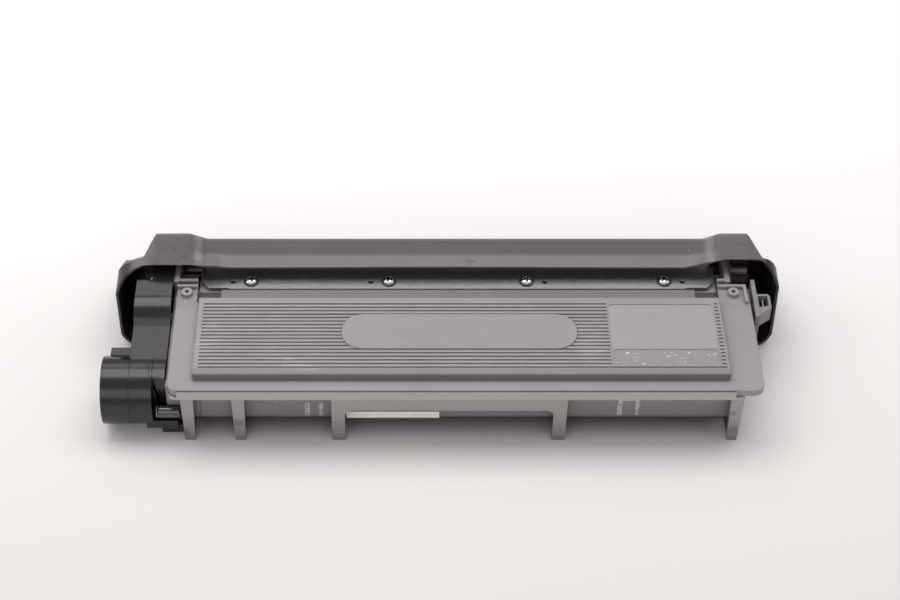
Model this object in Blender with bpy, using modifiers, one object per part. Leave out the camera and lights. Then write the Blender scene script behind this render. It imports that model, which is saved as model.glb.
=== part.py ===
"""Toner cartridge of a laser printer, lying flat with its clip-on protective cover.

X runs along the cartridge with the gears at -X, Y from the handle back to the developer roller, Z up.
While it is built, Y counts from the front face of the legs and Z from the floor. The empty "cartridge"
then carries everything so that the middle of the footprint is the origin.
"""

import math

import bmesh
import bpy

MM = 0.001
GAP = 0.3 * MM  # left between pieces that touch
RUNNING = 0.3 * MM  # clearance on the radius round turning pieces

# Hopper, the lower moulding
HOPPER_LEFT = -126.9 * MM
HOPPER_LENGTH = 260.9 * MM
HOPPER_RIGHT = HOPPER_LEFT + HOPPER_LENGTH
END_WALL = 2.5 * MM
WALL = 2.0 * MM
FRONT_WALL_Y = 6.0 * MM
BOTTOM_Z = 3.9 * MM
BOTTOM_ROUND = 7.0 * MM
FLANGE_TOP = 30.3 * MM
FLANGE_THICK = 3.0 * MM
FLANGE_FRONT_Y = -2.0 * MM
FLANGE_CORNER = 4.5 * MM
FLANGE_SLOPE = 2.35 * MM
FLANGE_LEFT_X = HOPPER_LEFT + 1.4 * MM
FEED_SILL_DROP = 5.3 * MM  # sill of the feed window below the supply roller's axis
SIDE_TOP_Z = 37.0 * MM
SEAT_FRONT = 0.4 * MM  # seat of the blade bracket in front of the bracket
SEAT_THICK = 5.5 * MM
STOP_BACK = 2.8 * MM
STOP_WALL = 1.5 * MM
STOP_CLEAR = 1.4 * MM

# Legs and handle below the flange
LEG_LEFTS = (HOPPER_LEFT + 6.9 * MM, HOPPER_LEFT + 29.9 * MM, HOPPER_RIGHT - 6.0 * MM)
LEG_WIDTH = 6.0 * MM
LEG_FOOT_WIDTH = 4.7 * MM
LEG_FACE = 2.4 * MM
LEG_DEPTH = 22.0 * MM
HANDLE_LEFT = -52.0 * MM
HANDLE_WIDTH = 106.7 * MM
HANDLE_LEG = 6.1 * MM
HANDLE_BAR_Z = 20.0 * MM
HANDLE_CORNER = 3.5 * MM

# Lid, the upper moulding
LID_LEFT = FLANGE_LEFT_X
LID_RIGHT = HOPPER_RIGHT + 8.5 * MM
LID_FRONT_Y = -0.8 * MM
LID_THICK = 3.8 * MM
LID_CORNER = 4.5 * MM
LID_REAR_GAP = 0.7 * MM
PANEL_LEFT = LID_LEFT + 11.1 * MM
PANEL_RIGHT = LID_RIGHT - 15.0 * MM
PANEL_FRONT = 6.4 * MM  # from the lid's front edge
PANEL_REAR = 9.1 * MM  # from the lid's rear edge
PANEL_RISE = 3.9 * MM
LID_WALL = 2.0 * MM
RIB_COUNT = 18
RIB_MARGIN = 4.4 * MM
GROOVE_WIDTH = 0.8 * MM
GROOVE_DEPTH = 0.8 * MM
GROOVE_ENDS = (2.6 * MM, 1.3 * MM)  # plain frame left and right of the grooves
GROOVE_BREAK = 0.5 * MM  # between a groove and the label recess
PLAQUE_LEFT = -47.7 * MM
PLAQUE_LENGTH = 107.7 * MM
PLAQUE_DEPTH = 22.0 * MM
PLAQUE_RISE = 0.8 * MM
LABEL_RIGHT = PANEL_RIGHT - 3.9 * MM
LABEL_LENGTH = 48.6 * MM
LABEL_DEPTH = 27.5 * MM
LABEL_RECESS = 0.5 * MM
STRIP_DEPTH = 9.6 * MM
STRIP_RECESS = 0.9 * MM
LABEL_CORNER = 2.3 * MM
PAD_WIDTH = 9.6 * MM
PAD_REACH = 1.3 * MM
PAD_RIM = 1.2 * MM
BOSS_RADIUS = 2.65 * MM
BOSS_BORE = 1.0 * MM
BOSS_HEIGHT = 2.0 * MM
CORNER_DROP = 2.6 * MM

# Gear train: the driven coupling and the spur gears that follow it
MODULE = 1.0 * MM
PRESSURE_ANGLE = math.radians(20)
ADDENDUM = 0.85
DEDENDUM = 1.15
BACKLASH = 0.16 * MM
COUPLING_TEETH = 22
AGITATOR_TEETH = 20
IDLER_1_TEETH = 21
SUPPLY_TEETH = 13
IDLER_2_TEETH = 12
DEVELOPER_TEETH = 15
COUPLING_AXIS = (15.6 * MM, 17.0 * MM)
AGITATOR_ANGLE = math.radians(0)
IDLER_1_ANGLE = math.radians(14.7)
SUPPLY_ANGLE = math.radians(-12.6)
DEVELOPER_ANGLE = math.radians(12)
GEAR_STANDOFF = 3.0 * MM  # from the hopper's end wall to the inner gears
GEAR_FACE = 5.0 * MM
COUPLING_STANDOFF = 9.9 * MM
STUD_RADIUS = 2.5 * MM
PRESS = 0.1 * MM  # clearance on the radius between a shaft and what is pushed onto it

# Rollers and agitator
DEVELOPER_RADIUS = 10.0 * MM
DEVELOPER_SHAFT = 3.0 * MM
SUPPLY_RADIUS = 6.5 * MM
SUPPLY_SHAFT = 2.5 * MM
NIP = 0.3 * MM
ROLLER_LEFT = HOPPER_LEFT + 18.9 * MM
ROLLER_RIGHT = HOPPER_RIGHT - 14.0 * MM
AGITATOR_SHAFT = 2.5 * MM
AGITATOR_REACH = 10.6 * MM
AGITATOR_BAR = 2.0 * MM
FILM = 0.35 * MM
BUSH_WALL = 1.8 * MM
BUSH_FLANGE = 1.4 * MM
CLIP_WALL = 2.0 * MM
SEAL_WIDTH = 5.0 * MM
SEAL_THICK = 2.2 * MM

# Blade and its bracket
BLADE_THICK = 0.4 * MM
BRACKET_LEFT = HOPPER_LEFT + 12.7 * MM
BRACKET_RIGHT = HOPPER_RIGHT - 7.4 * MM
BRACKET_THICK = 1.2 * MM
BRACKET_REACH = 25.2 * MM  # from the developer roller's axis forward
BRACKET_DEPTH = 16.5 * MM
BRACKET_LIP = 5.5 * MM
BRACKET_CHAMFER = (3.3 * MM, 4.7 * MM)
SCREW_COUNT = 4
SCREW_FIRST_X = BRACKET_LEFT + 23.3 * MM
SCREW_PITCH = (BRACKET_RIGHT - 23.19 * MM - SCREW_FIRST_X) / (SCREW_COUNT - 1)
SCREW_INSET = 4.4 * MM
SCREW_HEAD = 2.8 * MM
SCREW_HEAD_HEIGHT = 1.9 * MM
SCREW_SHANK = 1.4 * MM
SCREW_HOLE_CLEARANCE = 0.35 * MM
PEG_HOLE = 1.25 * MM
PEG_HOLE_OFFSET = -8.5 * MM

# Gear cover
GEAR_COVER_LEFT = HOPPER_LEFT - 17.4 * MM
GEAR_COVER_WALL = 1.5 * MM
DRUM_RADIUS = 15.5 * MM
DRUM_RIGHT = HOPPER_LEFT - 6.3 * MM
COVER_TOP_Z = 31.0 * MM
HUMP_TOP_Z = 38.0 * MM
HUMP_REAR_Y = 66.5 * MM
COVER_REAR_BOTTOM_Z = 4.2 * MM
TAIL_LEFT = HOPPER_LEFT - 10.0 * MM
TAIL_ROOM = 0.7 * MM  # round the rear gears
SHROUD_LENGTH = 12.1 * MM
SHROUD_WALL = 1.8 * MM
HUB_RADIUS = 8.0 * MM
CUP_RADIUS = 9.2 * MM
CUP_BORE = 6.6 * MM
CUP_DEPTH = 7.0 * MM
GUIDE_BLOCK = ((27.0 * MM, 32.0 * MM), (20.0 * MM, 28.0 * MM))
GUIDE_BLOCK_LENGTH = 9.4 * MM
PIN_AXIS = (4.5 * MM, 14.5 * MM)
PIN_RADIUS = 3.0 * MM
PIN_LENGTH = 12.2 * MM
NOTCH_TOP_Z = 22.0 * MM
NOTCH_REAR_Y = 9.4 * MM
COVER_SCREWS = (
    ((47.2 * MM, 8.0 * MM), GEAR_COVER_LEFT),
    ((69.6 * MM, 33.9 * MM), TAIL_LEFT),
)
POST_RADIUS = 2.5 * MM
SCREW_ENGAGED = 7.0 * MM

# Right end
ELECTRODE_OUTER = HOPPER_RIGHT + 11.5 * MM
ELECTRODE_WALL = 2.0 * MM
ELECTRODE_FRONT_Y = 44.0 * MM
ELECTRODE_REAR_Y = 67.9 * MM
ELECTRODE_BOTTOM_Z = 9.0 * MM
ELECTRODE_TOP_Z = 36.5 * MM
CARRIER_INSET = 0.6 * MM
CARRIER_THICK = 2.0 * MM
POCKET_LENGTH = 6.0 * MM
POCKET_Y = (50.0 * MM, 58.8 * MM)
POCKET_WALL = 1.2 * MM
POCKET_BOTTOM_Z = 28.0 * MM
FILL_AXIS = (25.0 * MM, 17.0 * MM)
FILL_RADIUS = 8.0 * MM

# Protective cover, from the developer roller's axis where it follows the roller
COVER_WALL = 1.2 * MM
COVER_LEFT = HOPPER_LEFT - 27.0 * MM
COVER_RIGHT = HOPPER_RIGHT + 22.5 * MM
COVER_RIM = (-18.4 * MM, 20.0 * MM)
COVER_CREASE = (-12.0 * MM, 21.7 * MM)
COVER_RIDGE = (-6.4 * MM, 27.2 * MM)
COVER_SHOULDER = (13.0 * MM, 7.4 * MM)
COVER_BACK = 16.6 * MM
COVER_LIP_Y = -29.4 * MM
LEFT_EAR_RIM = (-19.5 * MM, 22.2 * MM)
RIGHT_EAR_RIM = (-17.7 * MM, 24.0 * MM)
EAR_TOP = (-7.4 * MM, 31.0 * MM)
EAR_BASES = (
    (COVER_LEFT + 12.1 * MM, COVER_LEFT + 42.2 * MM),
    (COVER_RIGHT - 33.9 * MM, COVER_RIGHT - 7.0 * MM),
)
EAR_TOPS = (
    (COVER_LEFT + 18.4 * MM, COVER_LEFT + 34.4 * MM),
    (COVER_RIGHT - 27.5 * MM, COVER_RIGHT - 14.3 * MM),
)
COVER_RIB = 1.5 * MM

LABEL_STRIP = ((-45.4 * MM, -3.0 * MM), (9.2 * MM, 13.4 * MM))

ROUND = 24
SMALL_ROUND = 14
X_AXIS_TURN = (0, math.pi / 2, 0)
YZ_OUTLINE_TURN = (math.pi / 2, 0, math.pi / 2)
XZ_OUTLINE_TURN = (math.pi / 2, 0, 0)


# Derived places


def polar(centre, radius, angle):
    return (centre[0] + radius * math.cos(angle), centre[1] + radius * math.sin(angle))


def pitch_radius(teeth):
    return MODULE * teeth / 2


def centre_distance(first, second):
    return pitch_radius(first) + pitch_radius(second)


def above_both(left, right, left_reach, right_reach):
    """The point over the line from left to right that lies at these distances from the two."""
    run, rise = right[0] - left[0], right[1] - left[1]
    span = math.hypot(run, rise)
    along = (left_reach**2 - right_reach**2 + span**2) / (2 * span)
    height = math.sqrt(left_reach**2 - along**2)
    return (
        left[0] + (along * run - height * rise) / span,
        left[1] + (along * rise + height * run) / span,
    )


HOPPER_INNER = (HOPPER_LEFT + END_WALL, HOPPER_RIGHT - END_WALL)
AGITATOR_AXIS = polar(COUPLING_AXIS, centre_distance(COUPLING_TEETH, AGITATOR_TEETH), AGITATOR_ANGLE)
IDLER_1_AXIS = polar(AGITATOR_AXIS, centre_distance(AGITATOR_TEETH, IDLER_1_TEETH), IDLER_1_ANGLE)
SUPPLY_AXIS = polar(IDLER_1_AXIS, centre_distance(IDLER_1_TEETH, SUPPLY_TEETH), SUPPLY_ANGLE)
DEVELOPER_AXIS = polar(SUPPLY_AXIS, SUPPLY_RADIUS + DEVELOPER_RADIUS + NIP, DEVELOPER_ANGLE)
IDLER_2_AXIS = above_both(
    SUPPLY_AXIS,
    DEVELOPER_AXIS,
    centre_distance(SUPPLY_TEETH, IDLER_2_TEETH),
    centre_distance(IDLER_2_TEETH, DEVELOPER_TEETH),
)
SEAT_Z = DEVELOPER_AXIS[1] + DEVELOPER_RADIUS
BLADE_Z = SEAT_Z + GAP
BRACKET_Z = BLADE_Z + BLADE_THICK + GAP
BRACKET_TOP = BRACKET_Z + BRACKET_THICK
BRACKET_FRONT_Y = DEVELOPER_AXIS[0] - BRACKET_REACH
SCREW_Y = BRACKET_FRONT_Y + SCREW_INSET
LID_REAR_Y = BRACKET_FRONT_Y - LID_REAR_GAP
LID_BOTTOM = FLANGE_TOP + GAP
LID_TOP = LID_BOTTOM + LID_THICK
LIP_TOP = LID_TOP - 0.2 * MM
PANEL_TOP = LID_TOP + PANEL_RISE
PANEL_Y = (LID_FRONT_Y + PANEL_FRONT, LID_REAR_Y - PANEL_REAR)
GEARS_RIGHT = HOPPER_LEFT - GEAR_STANDOFF
GEARS_LEFT = GEARS_RIGHT - GEAR_FACE
COUPLING_GEAR_RIGHT = HOPPER_LEFT - COUPLING_STANDOFF
COUPLING_GEAR_LEFT = COUPLING_GEAR_RIGHT - GEAR_FACE
STUD_END = COUPLING_GEAR_LEFT + GEAR_FACE / 2
GEAR_COVER_RIGHT = HOPPER_LEFT - GAP
GEAR_COVER_INSIDE = GEAR_COVER_LEFT + GEAR_COVER_WALL
DEVELOPER_BUSH = DEVELOPER_SHAFT + RUNNING + BUSH_WALL
SUPPLY_BUSH = SUPPLY_SHAFT + RUNNING + BUSH_WALL
COVER_BACK_Y = DEVELOPER_AXIS[0] + COVER_BACK
SHROUD_LEFT = GEAR_COVER_LEFT - SHROUD_LENGTH
CARRIER_RIGHT = HOPPER_RIGHT + GAP + CARRIER_INSET + CARRIER_THICK


def meshed_phase(phase, teeth, next_teeth, angle):
    """Angle of a tooth on the next gear when it meshes with one that has a tooth at this phase."""
    offset = (phase - angle) * teeth / next_teeth
    return angle + math.pi - offset + math.pi / next_teeth


def heading(start, end):
    return math.atan2(end[1] - start[1], end[0] - start[0])


COUPLING_PHASE = 0.0
AGITATOR_PHASE = meshed_phase(
    COUPLING_PHASE, COUPLING_TEETH, AGITATOR_TEETH, heading(COUPLING_AXIS, AGITATOR_AXIS)
)
IDLER_1_PHASE = meshed_phase(
    AGITATOR_PHASE, AGITATOR_TEETH, IDLER_1_TEETH, heading(AGITATOR_AXIS, IDLER_1_AXIS)
)
SUPPLY_PHASE = meshed_phase(
    IDLER_1_PHASE, IDLER_1_TEETH, SUPPLY_TEETH, heading(IDLER_1_AXIS, SUPPLY_AXIS)
)
IDLER_2_PHASE = meshed_phase(
    SUPPLY_PHASE, SUPPLY_TEETH, IDLER_2_TEETH, heading(SUPPLY_AXIS, IDLER_2_AXIS)
)
DEVELOPER_PHASE = meshed_phase(
    IDLER_2_PHASE, IDLER_2_TEETH, DEVELOPER_TEETH, heading(IDLER_2_AXIS, DEVELOPER_AXIS)
)


# Scene, materials and modelling helpers


def clear_scene():
    for old in list(bpy.data.objects):
        bpy.data.objects.remove(old, do_unlink=True)


def collection(name):
    made = bpy.data.collections.new(name)
    bpy.context.scene.collection.children.link(made)
    return made


def material(name, colour, roughness, metallic=0.0):
    made = bpy.data.materials.new(name)
    made.use_nodes = True
    shader = made.node_tree.nodes["Principled BSDF"]
    shader.inputs["Base Color"].default_value = (*colour, 1)
    shader.inputs["Roughness"].default_value = roughness
    shader.inputs["Metallic"].default_value = metallic
    return made


clear_scene()
PARTS = collection("toner_cartridge")
HELPERS = collection("cutters")

GREY_PLASTIC = material("grey_plastic", (0.30, 0.28, 0.285), 0.5)
BLACK_PLASTIC = material("black_plastic", (0.018, 0.017, 0.018), 0.25)
DARK_PLASTIC = material("dark_plastic", (0.14, 0.125, 0.125), 0.45)
STEEL = material("steel", (0.55, 0.56, 0.57), 0.3, 1.0)
BRIGHT_STEEL = material("bright_steel", (0.75, 0.75, 0.74), 0.2, 1.0)
GEAR_RESIN = material("gear_resin", (0.78, 0.77, 0.72), 0.5)
RUBBER = material("rubber", (0.03, 0.03, 0.032), 0.6)
FOAM = material("foam", (0.16, 0.16, 0.17), 0.95)
FILM_SHEET = material("film", (0.55, 0.56, 0.52), 0.3)
PAPER = material("paper", (0.85, 0.84, 0.8), 0.7)


def link(obj, name, look, parent):
    obj.name = name
    obj.data.name = name
    PARTS.objects.link(obj)
    obj.parent = parent
    obj.data.materials.clear()
    if look:
        obj.data.materials.append(look)
    return obj


def empty(name, location, parent=None):
    made = bpy.data.objects.new(name, None)
    PARTS.objects.link(made)
    made.location = location
    made.parent = parent
    return made


CARTRIDGE = empty("cartridge", (0, 0, 0))


def welded(mesh):
    """The mesh with a curve's loose caps joined to its sides and every face turned outward."""
    work = bmesh.new()
    work.from_mesh(mesh)
    bmesh.ops.remove_doubles(work, verts=work.verts, dist=1e-6)
    bmesh.ops.recalc_face_normals(work, faces=work.faces)
    work.to_mesh(mesh)
    work.free()
    return mesh


def extruded(name, look, outline, low, high, turn, holes=(), parent=CARTRIDGE):
    """A flat outline, with holes, filled and extruded from low to high along the turned local Z."""
    curve = bpy.data.curves.new(name, "CURVE")
    curve.dimensions = "2D"
    curve.fill_mode = "BOTH"
    curve.extrude = (high - low) / 2
    for loop in (outline, *holes):
        spline = curve.splines.new("POLY")
        spline.points.add(len(loop) - 1)
        for point, (across, up) in zip(spline.points, loop):
            point.co = (across, up, 0, 1)
        spline.use_cyclic_u = True
    guide = bpy.data.objects.new(name, curve)
    bpy.context.scene.collection.objects.link(guide)
    graph = bpy.context.evaluated_depsgraph_get()
    mesh = welded(bpy.data.meshes.new_from_object(guide.evaluated_get(graph)))
    bpy.data.objects.remove(guide)
    bpy.data.curves.remove(curve)
    made = link(bpy.data.objects.new(name, mesh), name, look, parent)
    made.rotation_euler = turn
    return made


def slab_x(name, look, outline, left, right, holes=(), parent=CARTRIDGE):
    """An outline of (Y, Z) points extruded along X."""
    made = extruded(name, look, outline, left, right, YZ_OUTLINE_TURN, holes, parent)
    made.location.x = (left + right) / 2
    return made


def slab_z(name, look, outline, bottom, top, holes=()):
    """An outline of (X, Y) points extruded along Z."""
    made = extruded(name, look, outline, bottom, top, (0, 0, 0), holes)
    made.location.z = (bottom + top) / 2
    return made


def slab_y(name, look, outline, front, back, holes=()):
    """An outline of (X, Z) points extruded along Y."""
    made = extruded(name, look, outline, front, back, XZ_OUTLINE_TURN, holes)
    made.location.y = (front + back) / 2
    return made


def box(name, look, x, y, z, parent=CARTRIDGE):
    """A block between pairs of X, Y and Z values."""
    work = bmesh.new()
    bmesh.ops.create_cube(work, size=1)
    bmesh.ops.scale(work, vec=(x[1] - x[0], y[1] - y[0], z[1] - z[0]), verts=work.verts)
    mesh = bpy.data.meshes.new(name)
    work.to_mesh(mesh)
    work.free()
    made = link(bpy.data.objects.new(name, mesh), name, look, parent)
    made.location = ((x[0] + x[1]) / 2, (y[0] + y[1]) / 2, (z[0] + z[1]) / 2)
    return made


def rod(name, look, radius, left, right, axis, sides=SMALL_ROUND, parent=CARTRIDGE):
    """A round bar along X."""
    work = bmesh.new()
    bmesh.ops.create_cone(
        work, cap_ends=True, segments=sides, radius1=radius, radius2=radius, depth=right - left
    )
    mesh = bpy.data.meshes.new(name)
    work.to_mesh(mesh)
    work.free()
    made = link(bpy.data.objects.new(name, mesh), name, look, parent)
    made.rotation_euler = X_AXIS_TURN
    made.location = ((left + right) / 2, axis[0], axis[1])
    smooth(made)
    return made


def turned(name, look, profile, location, turn=X_AXIS_TURN, sides=ROUND, parent=CARTRIDGE):
    """A profile of (radius, height) points, from the top down its outer side, turned round its axis.

    A profile that stays off the axis is closed into a ring.
    """
    work = bmesh.new()
    points = [work.verts.new((radius, 0, height)) for radius, height in profile]
    for first, second in zip(points, points[1:]):
        work.edges.new((first, second))
    if profile[0][0] > 0:
        work.edges.new((points[-1], points[0]))
    mesh = bpy.data.meshes.new(name)
    work.to_mesh(mesh)
    work.free()
    made = link(bpy.data.objects.new(name, mesh), name, look, parent)
    screw = made.modifiers.new("turn", "SCREW")
    screw.steps = sides
    screw.render_steps = sides
    screw.use_merge_vertices = True
    screw.merge_threshold = 0.00001
    screw.use_smooth_shade = True
    made.location = location
    made.rotation_euler = turn
    return made


def smooth(obj):
    obj.data.shade_smooth()
    obj.data.set_sharp_from_angle(angle=math.radians(35))


def combine(target, tool, operation):
    """Joins or cuts target by tool, which becomes a hidden helper."""
    change = target.modifiers.new(tool.name, "BOOLEAN")
    change.operation = operation
    change.solver = "EXACT"
    change.object = tool
    PARTS.objects.unlink(tool)
    HELPERS.objects.link(tool)
    tool.hide_render = True
    tool.display_type = "WIRE"


def add(target, *tools):
    for tool in tools:
        combine(target, tool, "UNION")


def cut(target, *tools):
    for tool in tools:
        combine(target, tool, "DIFFERENCE")


def softened(obj, width, segments=1, angle=40):
    bevel = obj.modifiers.new("soft_edges", "BEVEL")
    bevel.width = width
    bevel.segments = segments
    bevel.limit_method = "ANGLE"
    bevel.angle_limit = math.radians(angle)
    return obj


# Outlines


def arc(centre, radius, start, end, steps):
    """Points round a centre between two angles in degrees."""
    angles = [math.radians(start + (end - start) * i / steps) for i in range(steps + 1)]
    return [polar(centre, radius, angle) for angle in angles]


def circle(centre, radius, sides=SMALL_ROUND):
    """A polygon whose flats, and not its corners, lie at the radius, so a pin of that radius fits."""
    return arc(centre, radius / math.cos(math.pi / sides), 0, 360, sides)[:-1]


def rectangle(across, up, corner=0.0, steps=4):
    """A rectangle between pairs of values, with round corners."""
    low, high = (across[0], up[0]), (across[1], up[1])
    if not corner:
        return [low, (high[0], low[1]), high, (low[0], high[1])]
    right, left = high[0] - corner, low[0] + corner
    top, bottom = high[1] - corner, low[1] + corner
    return (
        arc((right, top), corner, 0, 90, steps)
        + arc((left, top), corner, 90, 180, steps)
        + arc((left, bottom), corner, 180, 270, steps)
        + arc((right, bottom), corner, 270, 360, steps)
    )


def involute(angle):
    return math.tan(angle) - angle


def gear_outline(teeth, phase):
    """Involute teeth: half a tooth spans pi / (2 teeth) + inv(pressure angle) - inv(angle at the radius)."""
    pitch = pitch_radius(teeth)
    base = pitch * math.cos(PRESSURE_ANGLE)
    root = pitch - DEDENDUM * MODULE
    tip = pitch + ADDENDUM * MODULE
    at_pitch = math.pi / (2 * teeth) - BACKLASH / (2 * pitch)

    def half_width(radius):
        flank = math.acos(min(1, base / radius))
        return at_pitch + involute(PRESSURE_ANGLE) - involute(flank)

    points = []
    for tooth in range(teeth):
        middle = phase + 2 * math.pi * tooth / teeth
        for side in (-1, 1):
            radii = (root, pitch, tip) if side < 0 else (tip, pitch, root)
            points += [polar((0, 0), radius, middle + side * half_width(radius)) for radius in radii]
    return points


def spur_gear(name, teeth, phase, left, right, bore, spin):
    """A gear about its own axis, whose flats leave the bore's radius free."""
    holes = [circle((0, 0), bore)]
    return slab_x(name, GEAR_RESIN, gear_outline(teeth, phase), left, right, holes, spin)


def side_wall_outline():
    """(Y, Z) outline of an end wall: hopper at the front, bearings and blade seat at the back."""
    rear = DEVELOPER_RADIUS + 1 * MM
    front_centre = (FRONT_WALL_Y + BOTTOM_ROUND, BOTTOM_Z + BOTTOM_ROUND)
    step_y = BRACKET_FRONT_Y + 2 * MM
    return (
        [(step_y, SIDE_TOP_Z), (step_y, FLANGE_TOP - GAP), (FRONT_WALL_Y, FLANGE_TOP - GAP)]
        + arc(front_centre, BOTTOM_ROUND, 180, 270, 5)
        + [(AGITATOR_AXIS[0] + AGITATOR_REACH, BOTTOM_Z)]
        + [(SUPPLY_AXIS[0] - 15 * MM, BOTTOM_Z + 3.4 * MM)]
        + arc(DEVELOPER_AXIS, rear, -110, 65, 10)
        + [(SUPPLY_AXIS[0] + 9 * MM, SIDE_TOP_Z)]
    )


def trough_path():
    """(Y, Z) line of the hopper's outer skin, from the front wall down, over the feed sill to the rear lip."""
    front_centre = (FRONT_WALL_Y + BOTTOM_ROUND, BOTTOM_Z + BOTTOM_ROUND)
    sill_z = SUPPLY_AXIS[1] - FEED_SILL_DROP
    cradle = SUPPLY_RADIUS + RUNNING + WALL + 0.5 * MM
    sill_angle = 180 + math.degrees(math.asin(FEED_SILL_DROP / cradle))
    return (
        [(FRONT_WALL_Y, FLANGE_TOP - 1 * MM)]
        + arc(front_centre, BOTTOM_ROUND, 180, 270, 5)
        + [(AGITATOR_AXIS[0] + AGITATOR_REACH - 1 * MM, BOTTOM_Z)]
        + [(SUPPLY_AXIS[0] - 15 * MM, sill_z)]
        + arc(SUPPLY_AXIS, cradle, sill_angle, 285, 6)
        + [(DEVELOPER_AXIS[0] - 1.5 * MM, DEVELOPER_AXIS[1] - DEVELOPER_RADIUS - 3.4 * MM)]
    )


def shell_along_x(name, look, path, left, right, thickness):
    """An open line of (Y, Z) points swept along X and thickened to its left side."""
    work = bmesh.new()
    line = [work.verts.new((left, y, z)) for y, z in path]
    edges = [work.edges.new(pair) for pair in zip(line, line[1:])]
    swept = bmesh.ops.extrude_edge_only(work, edges=edges)["geom"]
    moved = [item for item in swept if isinstance(item, bmesh.types.BMVert)]
    bmesh.ops.translate(work, vec=(right - left, 0, 0), verts=moved)
    mesh = bpy.data.meshes.new(name)
    work.to_mesh(mesh)
    work.free()
    made = link(bpy.data.objects.new(name, mesh), name, look, CARTRIDGE)
    solidify = made.modifiers.new("wall", "SOLIDIFY")
    solidify.thickness = thickness
    solidify.offset = 1
    solidify.use_even_offset = True
    return made


# Hopper


def leg(index, left):
    """A leg with a flat front face, narrower at the foot, and a web back to the hopper."""
    right = left + LEG_WIDTH
    narrow = (LEG_WIDTH - LEG_FOOT_WIDTH) / 2
    top = FLANGE_TOP - FLANGE_THICK / 2
    face_outline = [(left + narrow, 0), (right - narrow, 0), (right, top), (left, top)]
    face = slab_y(f"leg_face_{index}", None, face_outline, 0, LEG_FACE)
    middle = left + LEG_WIDTH / 2
    web_outline = [
        (LEG_FACE / 2, 0),
        (LEG_DEPTH - 4 * MM, 0),
        (LEG_DEPTH, BOTTOM_Z + 1 * MM),
        (FRONT_WALL_Y + BOTTOM_ROUND, BOTTOM_Z + 1 * MM),
        (FRONT_WALL_Y + 1 * MM, BOTTOM_Z + BOTTOM_ROUND),
        (FRONT_WALL_Y + 1 * MM, top),
        (LEG_FACE / 2, top),
    ]
    web_half = LEG_FOOT_WIDTH / 2 - 0.4 * MM
    web = slab_x(f"leg_web_{index}", None, web_outline, middle - web_half, middle + web_half)
    return [face, web]


def handle():
    """The U-shaped handle: a bar below the flange on two legs, joined to the front wall by webs."""
    right = HANDLE_LEFT + HANDLE_WIDTH
    inner_left, inner_right = HANDLE_LEFT + HANDLE_LEG, right - HANDLE_LEG
    top = FLANGE_TOP - FLANGE_THICK / 2
    corner = HANDLE_BAR_Z - HANDLE_CORNER
    outline = (
        [(HANDLE_LEFT, 0), (HANDLE_LEFT, top), (right, top), (right, 0), (inner_right, 0)]
        + arc((inner_right - HANDLE_CORNER, corner), HANDLE_CORNER, 0, 90, 4)
        + arc((inner_left + HANDLE_CORNER, corner), HANDLE_CORNER, 90, 180, 4)
        + [(inner_left, 0)]
    )
    pieces = [slab_y("handle_bow", None, outline, 0, LEG_FACE)]
    for side, left in enumerate((HANDLE_LEFT + 0.6 * MM, inner_right + 0.6 * MM)):
        x = (left, left + HANDLE_LEG - 1.2 * MM)
        y = (LEG_FACE / 2, FRONT_WALL_Y + 1 * MM)
        pieces.append(box(f"handle_web_{side}", None, x, y, (0, top - 0.5 * MM)))
    return pieces


def bracket_seat():
    """The beam that carries the blade bracket, stepped down in front to pass under the lid."""
    front, rear = BRACKET_FRONT_Y - SEAT_FRONT, BRACKET_FRONT_Y + 13.8 * MM
    bottom, step = SEAT_Z - SEAT_THICK, FLANGE_TOP - GAP
    inner = (HOPPER_INNER[0] - 1 * MM, HOPPER_INNER[1] + 1 * MM)
    beam = box("seat_beam", None, inner, (front - 5.5 * MM, rear), (bottom, step))
    top_x = (BRACKET_LEFT - 1 * MM, BRACKET_RIGHT + 1 * MM)
    top = box("seat_top", None, top_x, (front, rear - 0.5 * MM), (step - 1 * MM, SEAT_Z))
    return [beam, top]


def end_stops():
    """Short upright walls on the beam, behind the lid's pads and beside the bracket's ends."""
    y = (BRACKET_FRONT_Y + STOP_BACK, BRACKET_FRONT_Y + STOP_BACK + STOP_WALL)
    z = (FLANGE_TOP - 1 * MM, SIDE_TOP_Z - 0.3 * MM)
    left = (HOPPER_LEFT + END_WALL / 2, BRACKET_LEFT - STOP_CLEAR)
    right = (BRACKET_RIGHT + STOP_CLEAR, HOPPER_RIGHT - END_WALL / 2)
    return [box("end_stop_left", None, left, y, z), box("end_stop_right", None, right, y, z)]


def seal_cradle(shell, index, left):
    """Curved seat of an end seal, round the underside of the developer roller, with room for the seal."""
    inner = DEVELOPER_RADIUS + RUNNING + SEAL_THICK + GAP
    x = (left - 0.4 * MM, left + SEAL_WIDTH + 0.4 * MM)
    room = [DEVELOPER_AXIS] + arc(DEVELOPER_AXIS, inner, 215, 340, 10)
    cut(shell, slab_x(f"seal_room_{index}", None, room, *x))
    outline = arc(DEVELOPER_AXIS, inner + WALL, 232, 335, 8) + arc(DEVELOPER_AXIS, inner + 0.02 * MM, 335, 232, 8)
    add(shell, slab_x(f"seal_cradle_{index}", None, outline, x[0] - 0.5 * MM, x[1] + 0.5 * MM))


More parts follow.
